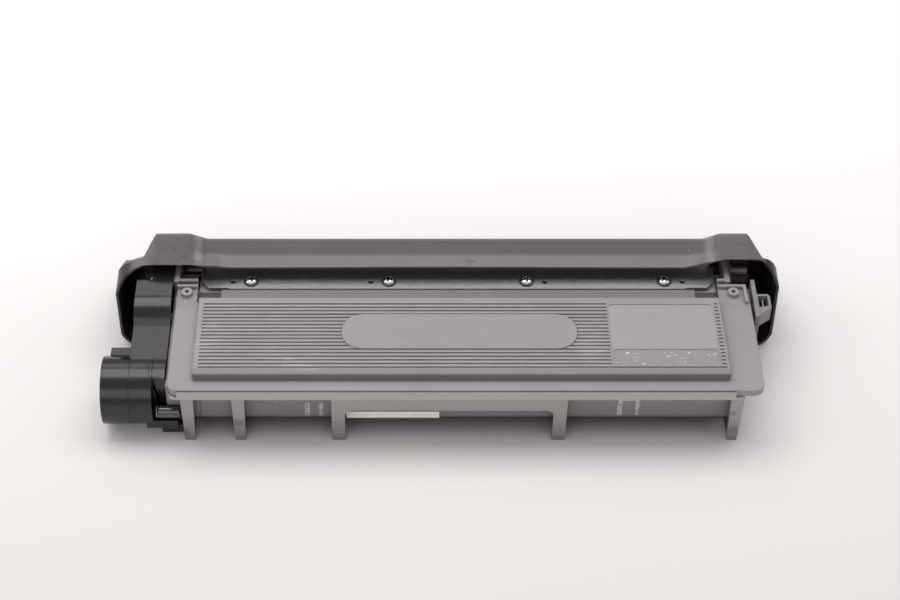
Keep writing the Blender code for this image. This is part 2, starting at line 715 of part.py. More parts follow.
def hopper_shell():
    """The lower moulding: trough, end walls, flange, legs, handle, blade seat and gear studs."""
    inner = (HOPPER_INNER[0] - 1 * MM, HOPPER_INNER[1] + 1 * MM)
    shell = shell_along_x("hopper_shell", GREY_PLASTIC, trough_path(), *inner, WALL)

    bushes = [
        circle(DEVELOPER_AXIS, DEVELOPER_BUSH + GAP, ROUND),
        circle(SUPPLY_AXIS, SUPPLY_BUSH + GAP, ROUND),
    ]
    agitator_hole = circle(AGITATOR_AXIS, AGITATOR_SHAFT + RUNNING)
    fill_hole = circle(FILL_AXIS, FILL_RADIUS + GAP, ROUND)
    left_wall = slab_x(
        "left_wall", None, side_wall_outline(), HOPPER_LEFT, HOPPER_INNER[0], [*bushes, agitator_hole]
    )
    right_wall = slab_x(
        "right_wall", None, side_wall_outline(), HOPPER_INNER[1], HOPPER_RIGHT, [*bushes, fill_hole]
    )

    flange_outline = rectangle(
        (FLANGE_LEFT_X, HOPPER_RIGHT), (FLANGE_FRONT_Y, LID_REAR_Y - 2 * MM), FLANGE_CORNER
    )
    mouth = rectangle(
        (HOPPER_INNER[0] + 2 * MM, HOPPER_INNER[1] - 2 * MM),
        (FRONT_WALL_Y + WALL, LID_REAR_Y - 5 * MM),
        2 * MM,
    )
    flange = slab_z("flange", None, flange_outline, FLANGE_TOP - FLANGE_THICK, FLANGE_TOP, [mouth])

    slope = FLANGE_SLOPE + 1 * MM
    front, low = FLANGE_FRONT_Y - 0.5 * MM, FLANGE_TOP - FLANGE_THICK - 0.5 * MM
    lower_edge = [(front, low), (front, low + slope), (front + slope, low)]
    cut(flange, slab_x("flange_slope", None, lower_edge, FLANGE_LEFT_X - 1 * MM, HOPPER_RIGHT + 1 * MM))
    lip_x = (FLANGE_LEFT_X + FLANGE_CORNER, HOPPER_RIGHT - FLANGE_CORNER)
    lip = box("flange_lip", None, lip_x, (FLANGE_FRONT_Y, LID_FRONT_Y - GAP), (FLANGE_TOP - 1 * MM, LIP_TOP))
    add(flange, lip)

    add(shell, left_wall, right_wall, flange, *bracket_seat(), *end_stops(), *handle())
    for index, left in enumerate(LEG_LEFTS):
        add(shell, *leg(index, left))
    for index, left in enumerate((ROLLER_LEFT, ROLLER_RIGHT - SEAL_WIDTH)):
        seal_cradle(shell, index, left)

    wall_middle = HOPPER_LEFT + END_WALL / 2
    studs = {"coupling": (COUPLING_AXIS, STUD_END), "idler_1": (IDLER_1_AXIS, GEARS_LEFT - 0.4 * MM)}
    studs["idler_2"] = (IDLER_2_AXIS, GEARS_LEFT - 0.4 * MM)
    for name, (axis, end) in studs.items():
        add(shell, rod(f"{name}_stud", None, STUD_RADIUS, end, wall_middle, axis))
    for index, (axis, face) in enumerate(COVER_SCREWS):
        end = face + GEAR_COVER_WALL + GAP
        add(shell, rod(f"cover_post_{index}", None, POST_RADIUS, end, wall_middle, axis))
        pilot = SCREW_SHANK + GAP
        cut(shell, rod(f"cover_pilot_{index}", None, pilot, end - 1 * MM, end + SCREW_ENGAGED, axis))

    electrode_end = ELECTRODE_OUTER - ELECTRODE_WALL - GAP
    electrode_axis = electrode_screw_axis()
    add(shell, rod("electrode_post", None, POST_RADIUS, HOPPER_RIGHT - 1 * MM, electrode_end, electrode_axis))
    pilot_x = (electrode_end - 8 * MM, electrode_end + 1 * MM)
    cut(shell, rod("electrode_pilot", None, SCREW_SHANK + GAP, *pilot_x, electrode_axis))

    pivot_x = (HOPPER_INNER[1] - 1 * MM, HOPPER_RIGHT - 0.8 * MM)
    cut(shell, rod("agitator_pivot", None, AGITATOR_SHAFT + RUNNING, *pivot_x, AGITATOR_AXIS))
    pin_x = (HOPPER_LEFT - 1 * MM, LEG_LEFTS[0])
    cut(shell, rod("pin_room", None, PIN_RADIUS + GAP, *pin_x, PIN_AXIS))
    for index in range(SCREW_COUNT):
        cut(shell, screw_pilot(index))
    return shell


def screw_x(index):
    return SCREW_FIRST_X + SCREW_PITCH * index


def screw_pilot(index):
    depth = SEAT_THICK - 1.4 * MM
    profile = [(0, 1 * MM), (SCREW_SHANK + GAP, 1 * MM), (SCREW_SHANK + GAP, -depth), (0, -depth)]
    place = (screw_x(index), SCREW_Y, SEAT_Z)
    return turned(f"blade_pilot_{index}", None, profile, place, (0, 0, 0), SMALL_ROUND)


# Lid


def label_places():
    """(X span, Y span of the label recess, Y span of the deeper strip in front of it)."""
    strip_front = PANEL_Y[0] + RIB_MARGIN + 2 * MM
    label_front = strip_front + STRIP_DEPTH + 0.8 * MM
    x = (LABEL_RIGHT - LABEL_LENGTH, LABEL_RIGHT)
    return x, (label_front, label_front + LABEL_DEPTH), (strip_front, strip_front + STRIP_DEPTH)


def groove_field():
    """The dark grooves between the ribs, broken where the label recess lies."""
    margin = PANEL_Y[0] + RIB_MARGIN, PANEL_Y[1] - RIB_MARGIN
    pitch = (margin[1] - margin[0]) / RIB_COUNT
    label_x, label_y, strip_y = label_places()
    left, right = PANEL_LEFT + GROOVE_ENDS[0], PANEL_RIGHT - GROOVE_ENDS[1]
    z = (PANEL_TOP - GROOVE_DEPTH, PANEL_TOP + 1 * MM)
    grooves = []
    for index in range(RIB_COUNT + 1):
        y = margin[0] + pitch * index
        across = (y - GROOVE_WIDTH / 2, y + GROOVE_WIDTH / 2)
        if across[1] < strip_y[0] - GROOVE_BREAK or across[0] > label_y[1] + GROOVE_BREAK:
            grooves.append(((left, right), across, z))
        else:
            grooves.append(((left, label_x[0] - GROOVE_BREAK), across, z))
            grooves.append(((label_x[1] + GROOVE_BREAK, right), across, z))
    return grooves


def blocks(name, spans):
    """Separate boxes in one helper, for a cut that repeats."""
    work = bmesh.new()
    for x, y, z in spans:
        made = bmesh.ops.create_cube(work, size=1)["verts"]
        bmesh.ops.scale(work, vec=(x[1] - x[0], y[1] - y[0], z[1] - z[0]), verts=made)
        middle = ((x[0] + x[1]) / 2, (y[0] + y[1]) / 2, (z[0] + z[1]) / 2)
        bmesh.ops.translate(work, vec=middle, verts=made)
    mesh = bpy.data.meshes.new(name)
    work.to_mesh(mesh)
    work.free()
    return link(bpy.data.objects.new(name, mesh), name, None, CARTRIDGE)


def corner_boss(lid, index, x):
    """A hollow round boss on a rear pad, open at the top."""
    y = LID_REAR_Y + PAD_REACH - 4.6 * MM
    top = LID_TOP + BOSS_HEIGHT
    outer = [(0, top), (BOSS_RADIUS, top), (BOSS_RADIUS, LID_TOP - 1 * MM), (0, LID_TOP - 1 * MM)]
    add(lid, turned(f"corner_boss_{index}", None, outer, (x, y, 0), (0, 0, 0), SMALL_ROUND))
    bore = [(0, top + 1 * MM), (BOSS_BORE, top + 1 * MM), (BOSS_BORE, LID_TOP), (0, LID_TOP)]
    cut(lid, turned(f"boss_bore_{index}", None, bore, (x, y, 0), (0, 0, 0), 10))


def hopper_lid():
    """The upper moulding: plate, hollow ribbed panel, blank plaque, label recesses, pads and bosses."""
    plate = rectangle((LID_LEFT, LID_RIGHT), (LID_FRONT_Y, LID_REAR_Y), LID_CORNER)
    lid = slab_z("hopper_lid", GREY_PLASTIC, plate, LID_BOTTOM, LID_TOP)
    softened(lid, 0.5 * MM)
    panel = box("panel", None, (PANEL_LEFT, PANEL_RIGHT), PANEL_Y, (LID_TOP - 1 * MM, PANEL_TOP))
    softened(panel, 0.5 * MM)
    add(lid, panel)

    pads = ((LID_LEFT + 0.2 * MM, LID_LEFT + 0.2 * MM + PAD_WIDTH), (PANEL_RIGHT + 0.4 * MM, LID_RIGHT - 1.6 * MM))
    rear = LID_REAR_Y + PAD_REACH
    for index, pad in enumerate(pads):
        add(lid, box(f"pad_{index}", None, pad, (rear - 12 * MM, rear), (LID_BOTTOM + 0.6 * MM, LID_TOP - 0.1 * MM)))
        rim = (rear - PAD_RIM, rear + 0.2 * MM)
        add(lid, box(f"pad_rim_{index}", None, pad, rim, (LID_BOTTOM + 1 * MM, LID_TOP + 1.8 * MM)))
    hook_x = (pads[1][1] - PAD_RIM, pads[1][1] + 0.2 * MM)
    add(lid, box("pad_hook", None, hook_x, (rear - 11 * MM, rear), (LID_TOP - 1 * MM, LID_TOP + 1.8 * MM)))

    hollow_x = (PANEL_LEFT + LID_WALL, PANEL_RIGHT - LID_WALL)
    hollow_y = (PANEL_Y[0] + LID_WALL, PANEL_Y[1] - LID_WALL)
    hollow_z = (LID_BOTTOM - 1 * MM, PANEL_TOP - LID_WALL - GROOVE_DEPTH)
    cut(lid, box("panel_hollow", None, hollow_x, hollow_y, hollow_z))

    corner_z = (LID_TOP - CORNER_DROP, LID_TOP + 1 * MM)
    corner_y = (PANEL_Y[1] + 0.4 * MM, LID_REAR_Y + 2 * MM)
    left_drop = (pads[0][1], PANEL_LEFT + 9.8 * MM)
    right_drop = (PANEL_RIGHT - 10.5 * MM, pads[1][0])
    cut(lid, blocks("corner_drops", [(left_drop, corner_y, corner_z), (right_drop, corner_y, corner_z)]))

    cut(lid, blocks("rib_grooves", groove_field()))
    label_x, label_y, strip_y = label_places()
    recess_y = (strip_y[0] - 0.6 * MM, label_y[1])
    recess = rectangle(label_x, recess_y, LABEL_CORNER)
    cut(lid, slab_z("label_recess", None, recess, PANEL_TOP - LABEL_RECESS, PANEL_TOP + 1 * MM))
    strip_x = (label_x[0] + 0.8 * MM, label_x[1] - 0.8 * MM)
    strip = rectangle(strip_x, strip_y, 1.6 * MM, 3)
    cut(lid, slab_z("label_strip", None, strip, PANEL_TOP - STRIP_RECESS, PANEL_TOP + 1 * MM))
    middle_y = (PANEL_Y[0] + PANEL_Y[1]) / 2 + 1.9 * MM
    plaque_y = (middle_y - PLAQUE_DEPTH / 2, middle_y + PLAQUE_DEPTH / 2)
    plaque = rectangle((PLAQUE_LEFT, PLAQUE_LEFT + PLAQUE_LENGTH), plaque_y, PLAQUE_DEPTH * 0.45, 6)
    plaque_z = (PANEL_TOP - GROOVE_DEPTH - 0.4 * MM, PANEL_TOP + PLAQUE_RISE)
    add(lid, softened(slab_z("plaque", None, plaque, *plaque_z), 0.4 * MM))

    corner_boss(lid, 0, (pads[0][0] + pads[0][1]) / 2)
    corner_boss(lid, 1, pads[1][0] + 7 * MM)
    return lid


# Gear cover


def front_cover_outline(inset, notched):
    """(Y, Z) outline of the wide front part: drum, flat top and hump, moved inward by the inset."""
    drum = DRUM_RADIUS - inset
    top, hump_top = COVER_TOP_Z - inset, HUMP_TOP_Z - inset
    rear, bottom = HUMP_REAR_Y - inset, COVER_REAR_BOTTOM_Z + inset
    hump = hump_top - IDLER_1_AXIS[1]
    hump_foot = math.degrees(math.asin((top - IDLER_1_AXIS[1]) / hump))
    crease = math.degrees(math.asin((top - COUPLING_AXIS[1]) / drum))
    back = arc(IDLER_1_AXIS, hump, 180 - hump_foot, 90, 8) + [(rear, hump_top), (rear, bottom)]
    if not notched:
        return back + arc(COUPLING_AXIS, drum, 270, crease, 18)
    front, low = NOTCH_REAR_Y + inset, COUPLING_AXIS[1] - drum
    meeting = math.degrees(math.acos((front - COUPLING_AXIS[0]) / drum))
    return back + [(COUPLING_AXIS[0], low), (front, low + 1.5 * MM)] + arc(COUPLING_AXIS, drum, meeting, crease, 5)


def tail_outline(inset):
    """(Y, Z) outline of the narrow rear part, round the two idlers and the developer gear."""
    room = TAIL_ROOM + GEAR_COVER_WALL - inset
    developer = pitch_radius(DEVELOPER_TEETH) + ADDENDUM * MODULE + room
    idler = pitch_radius(IDLER_2_TEETH) + ADDENDUM * MODULE + room
    slope = math.degrees(heading(DEVELOPER_AXIS, IDLER_2_AXIS)) - 90
    start = HUMP_REAR_Y - 6 * MM
    low = min(SUPPLY_AXIS[1] - pitch_radius(SUPPLY_TEETH) - ADDENDUM * MODULE - room, COVER_REAR_BOTTOM_Z + 4 * MM)
    return (
        [(start, low), (SUPPLY_AXIS[0], low)]
        + arc(DEVELOPER_AXIS, developer, -75, slope, 8)
        + arc(IDLER_2_AXIS, idler, slope, 95, 5)
        + [(start, HUMP_TOP_Z - 0.3 * MM - inset)]
    )


def gear_cover():
    """The glossy cover over the train: wide front part, narrow tail, shroud and guide block."""
    wall = GEAR_COVER_WALL
    cover = slab_x("gear_cover", BLACK_PLASTIC, front_cover_outline(0, False), GEAR_COVER_LEFT, DRUM_RIGHT)
    body = slab_x("cover_body", None, front_cover_outline(0, True), DRUM_RIGHT - wall, GEAR_COVER_RIGHT)
    tail = slab_x("cover_tail", None, tail_outline(0), TAIL_LEFT, GEAR_COVER_RIGHT)
    shroud = slab_x(
        "cover_shroud",
        None,
        circle(COUPLING_AXIS, DRUM_RADIUS, 32),
        SHROUD_LEFT,
        GEAR_COVER_LEFT + wall / 2,
        [circle(COUPLING_AXIS, DRUM_RADIUS - SHROUD_WALL, 32)],
    )
    block_x = (GEAR_COVER_LEFT - GUIDE_BLOCK_LENGTH, GEAR_COVER_LEFT + wall / 2)
    add(cover, body, tail, shroud, box("guide_block", None, block_x, *GUIDE_BLOCK))
    drum_x = (GEAR_COVER_INSIDE, DRUM_RIGHT - wall)
    cut(cover, slab_x("drum_room", None, front_cover_outline(wall, False), *drum_x))
    body_x = (DRUM_RIGHT - 3 * wall, HOPPER_LEFT + 1 * MM)
    cut(cover, slab_x("body_room", None, front_cover_outline(wall, True), *body_x))
    tail_x = (TAIL_LEFT + wall, HOPPER_LEFT + 1 * MM)
    cut(cover, slab_x("tail_room", None, tail_outline(wall), *tail_x))
    hub_x = (GEAR_COVER_LEFT - 1 * MM, GEAR_COVER_INSIDE + 1 * MM)
    cut(cover, slab_x("hub_hole", None, circle(COUPLING_AXIS, HUB_RADIUS + RUNNING, ROUND), *hub_x))
    for index, (axis, face) in enumerate(COVER_SCREWS):
        hole_x = (face - 1 * MM, face + wall + 1 * MM)
        cut(cover, rod(f"cover_hole_{index}", None, SCREW_SHANK + SCREW_HOLE_CLEARANCE, *hole_x, axis))
    bar_y = (1.6 * MM, FRONT_WALL_Y - GAP)
    bar_z = (6.5 * MM, PIN_AXIS[1] - PIN_RADIUS - GAP)
    bar = box("guide_bar", None, (COUPLING_GEAR_RIGHT + GAP, LEG_LEFTS[0] - 2 * MM), bar_y, bar_z)
    tab_x = (DRUM_RIGHT + 3.2 * MM, LEG_LEFTS[0] - GAP)
    tab = box("guide_tab", None, tab_x, (3 * MM, FRONT_WALL_Y - GAP), (2 * MM, 7 * MM))
    add(cover, bar, tab)
    return cover


def guide_pin():
    """Glossy pin with a domed left end, standing on the left leg."""
    right = LEG_LEFTS[0] - GAP
    dome = [(0, 0)] + [
        (PIN_RADIUS * math.sin(math.radians(a)), 1.2 * MM * (1 - math.cos(math.radians(a)))) for a in (30, 60, 90)
    ]
    profile = [(0, PIN_LENGTH), (PIN_RADIUS, PIN_LENGTH)] + dome[::-1]
    place = (right - PIN_LENGTH, *PIN_AXIS)
    return turned("guide_pin", BLACK_PLASTIC, profile, place)


def pan_screw(name, length, place, turn, look=BRIGHT_STEEL):
    """A pan head with a domed top on a plain shank."""
    head, height = SCREW_HEAD, SCREW_HEAD_HEIGHT
    dome = [(head * math.sin(math.radians(a)), height * (0.35 + 0.65 * math.cos(math.radians(a)))) for a in (45, 75, 90)]
    profile = [(0, height)] + dome + [(head, 0), (SCREW_SHANK, 0), (SCREW_SHANK, -length), (0, -length)]
    return turned(name, look, profile, place, turn, SMALL_ROUND)


# Turning pieces


def drive_coupling(spin):
    """Gear, hub and cup in one moulding, turning on the hopper's stud."""
    bore = STUD_RADIUS + RUNNING
    right, gear_left = HOPPER_LEFT - GAP, COUPLING_GEAR_LEFT
    cup_left = SHROUD_LEFT + 0.8 * MM
    sleeve = bore + 1.6 * MM
    profile = [
        (sleeve, right),
        (sleeve, COUPLING_GEAR_RIGHT - 1 * MM),
        (HUB_RADIUS, COUPLING_GEAR_RIGHT - 1 * MM),
        (HUB_RADIUS, GEAR_COVER_LEFT - 0.8 * MM),
        (CUP_RADIUS, GEAR_COVER_LEFT - 1.6 * MM),
        (CUP_RADIUS, cup_left),
        (CUP_BORE, cup_left),
        (CUP_BORE, cup_left + CUP_DEPTH),
        (bore, cup_left + CUP_DEPTH),
    ]
    coupling = turned("drive_coupling", GEAR_RESIN, profile, (0, 0, 0), parent=spin)
    gear_x = (gear_left, COUPLING_GEAR_RIGHT)
    gear = spur_gear("coupling_gear", COUPLING_TEETH, COUPLING_PHASE, *gear_x, bore + 1 * MM, spin)
    add(coupling, gear)
    for index in range(3):
        angle = math.radians(120 * index)
        dog_x = (cup_left + 1 * MM, cup_left + CUP_DEPTH + 0.5 * MM)
        outer = CUP_BORE + 0.8 * MM
        dog = box(f"dog_{index}", None, dog_x, (outer - 2.8 * MM, outer), (-1.1 * MM, 1.1 * MM), spin)
        middle = outer - 1.4 * MM
        dog.location = (dog.location.x, middle * math.cos(angle), middle * math.sin(angle))
        dog.rotation_euler = (angle, 0, 0)
        add(coupling, dog)
    return coupling


def gear_on_stud(name, teeth, phase, spin):
    return spur_gear(name, teeth, phase, GEARS_LEFT, GEARS_RIGHT, STUD_RADIUS + RUNNING, spin)


def agitator(spin):
    """Shaft with a flat bar, the film staked to the bar, and the wide gear on its end."""
    left_end = COUPLING_GEAR_LEFT + 0.3 * MM
    right_end = HOPPER_RIGHT - 0.8 * MM - GAP
    shaft = rod("agitator_shaft", GEAR_RESIN, AGITATOR_SHAFT, left_end, right_end, (0, 0), parent=spin)
    bar_x = (HOPPER_INNER[0] + 5 * MM, HOPPER_INNER[1] - 5 * MM)
    half = AGITATOR_BAR / 2
    bar = box("agitator_bar", None, bar_x, (-half, half), (0, 6.4 * MM), spin)
    add(shaft, bar)
    film_x = (bar_x[0] + 1 * MM, bar_x[1] - 1 * MM)
    film_y = (half + GAP, half + GAP + FILM)
    film = box("agitator_film", FILM_SHEET, film_x, film_y, (3.2 * MM, AGITATOR_REACH), spin)
    stakes = 5
    for index in range(stakes):
        x = film_x[0] + (film_x[1] - film_x[0]) * (index + 0.5) / stakes
        stake_x, stake_z = (x - 1 * MM, x + 1 * MM), (4 * MM, 5.6 * MM)
        add(shaft, box(f"stake_{index}", None, stake_x, (0, film_y[1] + 0.5 * MM), stake_z, spin))
        hole_x, hole_z = (x - 1.3 * MM, x + 1.3 * MM), (3.7 * MM, 5.9 * MM)
        cut(film, box(f"stake_hole_{index}", None, hole_x, (0, film_y[1] + 1 * MM), hole_z, spin))
    gear_x = (COUPLING_GEAR_LEFT, GEARS_RIGHT)
    gear = spur_gear("agitator_gear", AGITATOR_TEETH, AGITATOR_PHASE, *gear_x, AGITATOR_SHAFT + PRESS, spin)
    return shaft, film, gear


def roller(kind, radius, shaft_radius, right_end, look, sides, spin):
    """A steel shaft with a sleeve on it, from the gear at the left to its right end."""
    shaft_x = (GEARS_LEFT - 0.3 * MM, right_end)
    shaft = rod(f"{kind}_shaft", STEEL, shaft_radius, *shaft_x, (0, 0), ROUND, spin)
    bore = (shaft_radius + PRESS) / math.cos(math.pi / sides)
    profile = [(radius, ROLLER_RIGHT), (radius, ROLLER_LEFT), (bore, ROLLER_LEFT), (bore, ROLLER_RIGHT)]
    name = "developer_sleeve" if kind == "developer" else "supply_foam"
    sleeve = turned(name, look, profile, (0, 0, 0), sides=sides, parent=spin)
    return shaft, sleeve


def bush(name, shaft_radius, outer, inner_face, direction, axis):
    """A flanged bush through an end wall, its flange on the inner face."""
    bore = (shaft_radius + RUNNING) / math.cos(math.pi / ROUND)
    flange = outer + 1.5 * MM
    body = END_WALL + GAP
    if direction > 0:
        profile = [(outer, body), (outer, 0), (flange, 0), (flange, -BUSH_FLANGE), (bore, -BUSH_FLANGE), (bore, body)]
        start = inner_face - GAP
    else:
        profile = [(flange, BUSH_FLANGE), (flange, 0), (outer, 0), (outer, -body), (bore, -body), (bore, BUSH_FLANGE)]
        start = inner_face + GAP
    return turned(name, BLACK_PLASTIC, profile, (start, *axis))


def retaining_clip(name, shaft_radius, left, spin):
    """An open ring sprung into a shaft, with its mouth to the front."""
    inner, outer = shaft_radius + PRESS, shaft_radius + CLIP_WALL
    outline = arc((0, 0), outer, 205, 515, 16) + arc((0, 0), inner / math.cos(math.pi / 16), 515, 205, 16)
    return slab_x(name, STEEL, outline, left, left + 0.8 * MM, (), spin)


# Seals, blade and bracket


def end_seal(name, left):
    inner = DEVELOPER_RADIUS + RUNNING
    outline = arc(DEVELOPER_AXIS, inner + SEAL_THICK, 228, 335, 10) + arc(DEVELOPER_AXIS, inner, 335, 228, 10)
    return slab_x(name, FOAM, outline, left, left + SEAL_WIDTH)


def lower_seal_film():
    """Thin film on the rear lip, between the two end seals."""
    y = (DEVELOPER_AXIS[0] - 7.5 * MM, DEVELOPER_AXIS[0] - 1.8 * MM)
    lip_top = DEVELOPER_AXIS[1] - DEVELOPER_RADIUS - 3.4 * MM + WALL
    bottom = lip_top + 0.65 * MM
    x = (ROLLER_LEFT + SEAL_WIDTH + 1 * MM, ROLLER_RIGHT - SEAL_WIDTH - 1 * MM)
    return box("lower_seal_film", FILM_SHEET, x, y, (bottom, bottom + FILM))


def screw_holes(radius):
    return [circle((screw_x(index), SCREW_Y), radius) for index in range(SCREW_COUNT)]


def doctor_blade():
    """Thin spring steel strip, clamped in front, its free edge over the developer roller."""
    outline = rectangle((ROLLER_LEFT, ROLLER_RIGHT), (BRACKET_FRONT_Y + 1.5 * MM, DEVELOPER_AXIS[0]))
    holes = screw_holes(SCREW_SHANK + SCREW_HOLE_CLEARANCE)
    return slab_z("doctor_blade", STEEL, outline, BLADE_Z, BLADE_Z + BLADE_THICK, holes)


def blade_bracket():
    """Steel angle: flat leg with chamfered front corners and two shallow notches, lip turned up behind."""
    run, rise = BRACKET_CHAMFER
    left, right, front = BRACKET_LEFT, BRACKET_RIGHT, BRACKET_FRONT_Y
    rear = front + BRACKET_DEPTH
    step = 0.5 * MM
    outline = [
        (left, rear),
        (left, front + rise),
        (left + run, front + 1.3 * step),
        (left + 13 * MM, front + step),
        (left + 13 * MM, front),
        (right - 13 * MM, front),
        (right - 13 * MM, front + step),
        (right - run, front + 1.3 * step),
        (right, front + rise),
        (right, rear),
    ]
    bracket = slab_z("blade_bracket", STEEL, outline, BRACKET_Z, BRACKET_TOP)
    lip_x = (left + 1.5 * MM, right - 1.5 * MM)
    lip_y = (rear - BRACKET_THICK / 2, rear + BRACKET_THICK / 2)
    add(bracket, box("bracket_lip", None, lip_x, lip_y, (BRACKET_Z + 0.2 * MM, BRACKET_TOP + BRACKET_LIP)))
    for index in range(SCREW_COUNT):
        outward = PEG_HOLE_OFFSET if index < SCREW_COUNT / 2 else -PEG_HOLE_OFFSET
        for kind, x, radius in (
            ("screw", screw_x(index), SCREW_SHANK + SCREW_HOLE_CLEARANCE),
            ("peg", screw_x(index) + outward, PEG_HOLE),
        ):
            low, high = BRACKET_Z - 1 * MM, BRACKET_TOP + 1 * MM
            cut(bracket, slab_z(f"{kind}_hole_{index}", None, circle((x, SCREW_Y), radius, 12), low, high))
    return bracket


# Right end


def electrode_screw_axis():
    return ((ELECTRODE_FRONT_Y + ELECTRODE_REAR_Y) / 2 + 1 * MM, ELECTRODE_BOTTOM_Z + 6 * MM)


def electrode_outline(inset):
    """(Y, Z) outline of the box part, kept under the lid, with a sloping lower front."""
    top = LID_BOTTOM - GAP - inset
    front, rear, bottom = ELECTRODE_FRONT_Y + inset, ELECTRODE_REAR_Y - inset, ELECTRODE_BOTTOM_Z + inset
    return [(front, top), (front, bottom + 9 * MM), (front + 9 * MM, bottom), (rear, bottom), (rear, top)]


def electrode_cover():
    """Grey cover at the right: a box against the end wall, a tall outer wall and an open pocket on it."""
    left, outer = HOPPER_RIGHT + GAP, ELECTRODE_OUTER
    wall_left = outer - ELECTRODE_WALL
    front, rear, top = ELECTRODE_FRONT_Y, ELECTRODE_REAR_Y, ELECTRODE_TOP_Z
    cover = slab_x("electrode_cover", GREY_PLASTIC, electrode_outline(0), left, outer)
    tall_outline = [(front + 4 * MM, 20 * MM), (rear - 2 * MM, 20 * MM), (rear, top), (front, top), (front, top - 4 * MM)]
    add(cover, slab_x("tall_wall", None, tall_outline, wall_left, outer - 0.01 * MM))
    room_x = (left - 1 * MM, wall_left)
    cut(cover, slab_x("electrode_room", None, electrode_outline(ELECTRODE_WALL * 0.8), *room_x))

    pocket_right = outer + POCKET_LENGTH
    pocket_z = (POCKET_BOTTOM_Z, top - 0.6 * MM)
    corner = [
        (outer - 0.5 * MM, POCKET_Y[0] - 5 * MM),
        (pocket_right, POCKET_Y[0]),
        (pocket_right, POCKET_Y[1] - 1 * MM),
        (pocket_right - 1 * MM, POCKET_Y[1]),
        (outer - 0.5 * MM, POCKET_Y[1]),
    ]
    add(cover, slab_z("pocket", None, corner, *pocket_z))
    w = POCKET_WALL
    room = [
        (outer + 0.4 * MM, POCKET_Y[0] + 0.4 * MM),
        (pocket_right - w, POCKET_Y[0] + w),
        (pocket_right - w, POCKET_Y[1] - w),
        (outer + 0.4 * MM, POCKET_Y[1] - w),
    ]
    cut(cover, slab_z("pocket_room", None, room, POCKET_BOTTOM_Z + 1.5 * MM, top + 1 * MM))

    carrier = arc(DEVELOPER_AXIS, DEVELOPER_BUSH + 3 * MM, -120, 90, 8)
    carrier += [(rear - 3 * MM, LID_BOTTOM - 4 * MM), (rear - 3 * MM, ELECTRODE_BOTTOM_Z + 2 * MM)]
    holes = [circle(DEVELOPER_AXIS, DEVELOPER_SHAFT + RUNNING, ROUND)]
    if SUPPLY_AXIS[0] + SUPPLY_SHAFT < DEVELOPER_AXIS[0] - DEVELOPER_SHAFT:
        holes.append(circle(SUPPLY_AXIS, SUPPLY_SHAFT + 1 * MM, ROUND))
    carrier_x = (CARRIER_RIGHT - CARRIER_THICK, CARRIER_RIGHT)
    add(cover, slab_x("shaft_carrier", None, carrier, *carrier_x, holes))
    screw_hole = rod("electrode_hole", None, SCREW_SHANK + SCREW_HOLE_CLEARANCE, wall_left - 1 * MM, outer + 1 * MM, electrode_screw_axis())
    cut(cover, screw_hole)
    return cover


def bias_contact():
    """Steel leaf standing in the pocket."""
    middle = (POCKET_Y[0] + POCKET_Y[1]) / 2
    x = (ELECTRODE_OUTER + 2.2 * MM, ELECTRODE_OUTER + 2.8 * MM)
    bottom = POCKET_BOTTOM_Z + 1.5 * MM + GAP
    return box("bias_contact", BRIGHT_STEEL, x, (middle - 2.4 * MM, middle + 2.4 * MM), (bottom, ELECTRODE_TOP_Z - 2 * MM))


def fill_cap():
    """Plug in the filling hole: a disc outside with a hollow skirt through the wall."""
    outer, skirt = FILL_RADIUS + 1.6 * MM, FILL_RADIUS - GAP
    disc = 1.6 * MM
    profile = [(0, disc), (outer, disc), (outer, 0), (skirt, 0), (skirt, -5 * MM), (skirt - 1.5 * MM, -5 * MM), (skirt - 1.5 * MM, 0), (0, 0)]
    return turned("fill_cap", BLACK_PLASTIC, profile, (HOPPER_RIGHT + GAP, *FILL_AXIS))


# Protective cover


def follow(offset):
    """An offset from the developer roller's axis as a point in (Y, Z)."""
    return (DEVELOPER_AXIS[0] + offset[0], DEVELOPER_AXIS[1] + offset[1])


def cover_section(rim, crease, ridge, shoulder, inset=0.0):
    """(Y, Z) line from the upper rim over the ridge, down the back and forward to the lower lip."""
    back = COVER_BACK_Y - inset
    floor = inset
    lip = DEVELOPER_AXIS[0] + COVER_LIP_Y
    return [
        rim,
        crease,
        ridge,
        shoulder,
        (back, shoulder[1] - 5.5 * MM - inset),
        (back, floor + 4 * MM),
        (back - 4 * MM, floor),
        (lip, floor),
    ]


def middle_section(lift=0.0):
    rim, crease, ridge, shoulder = map(follow, (COVER_RIM, COVER_CREASE, COVER_RIDGE, COVER_SHOULDER))
    return cover_section((rim[0], rim[1] - lift), crease, ridge, shoulder)


def ear_section(height, ear_rim=RIGHT_EAR_RIM):
    """Section through an ear, from 0 at its foot to 1 at its full height."""
    rim, top = follow(ear_rim), follow(EAR_TOP)
    foot_rim = follow((COVER_RIM[0], COVER_RIM[1] + 0.9 * MM))
    foot_top = follow((-14.9 * MM, 21.9 * MM))
    blend = lambda low, high: (low[0] + (high[0] - low[0]) * height, low[1] + (high[1] - low[1]) * height)
    rim_point, top_point = blend(foot_rim, rim), blend(foot_top, top)
    middle = ((rim_point[0] + top_point[0]) / 2, (rim_point[1] + top_point[1]) / 2)
    shoulder = blend(follow((8.0 * MM, -1.0 * MM)), follow((COVER_SHOULDER[0] + 0.5 * MM, COVER_SHOULDER[1] + 2 * MM)))
    return cover_section(rim_point, middle, top_point, shoulder)


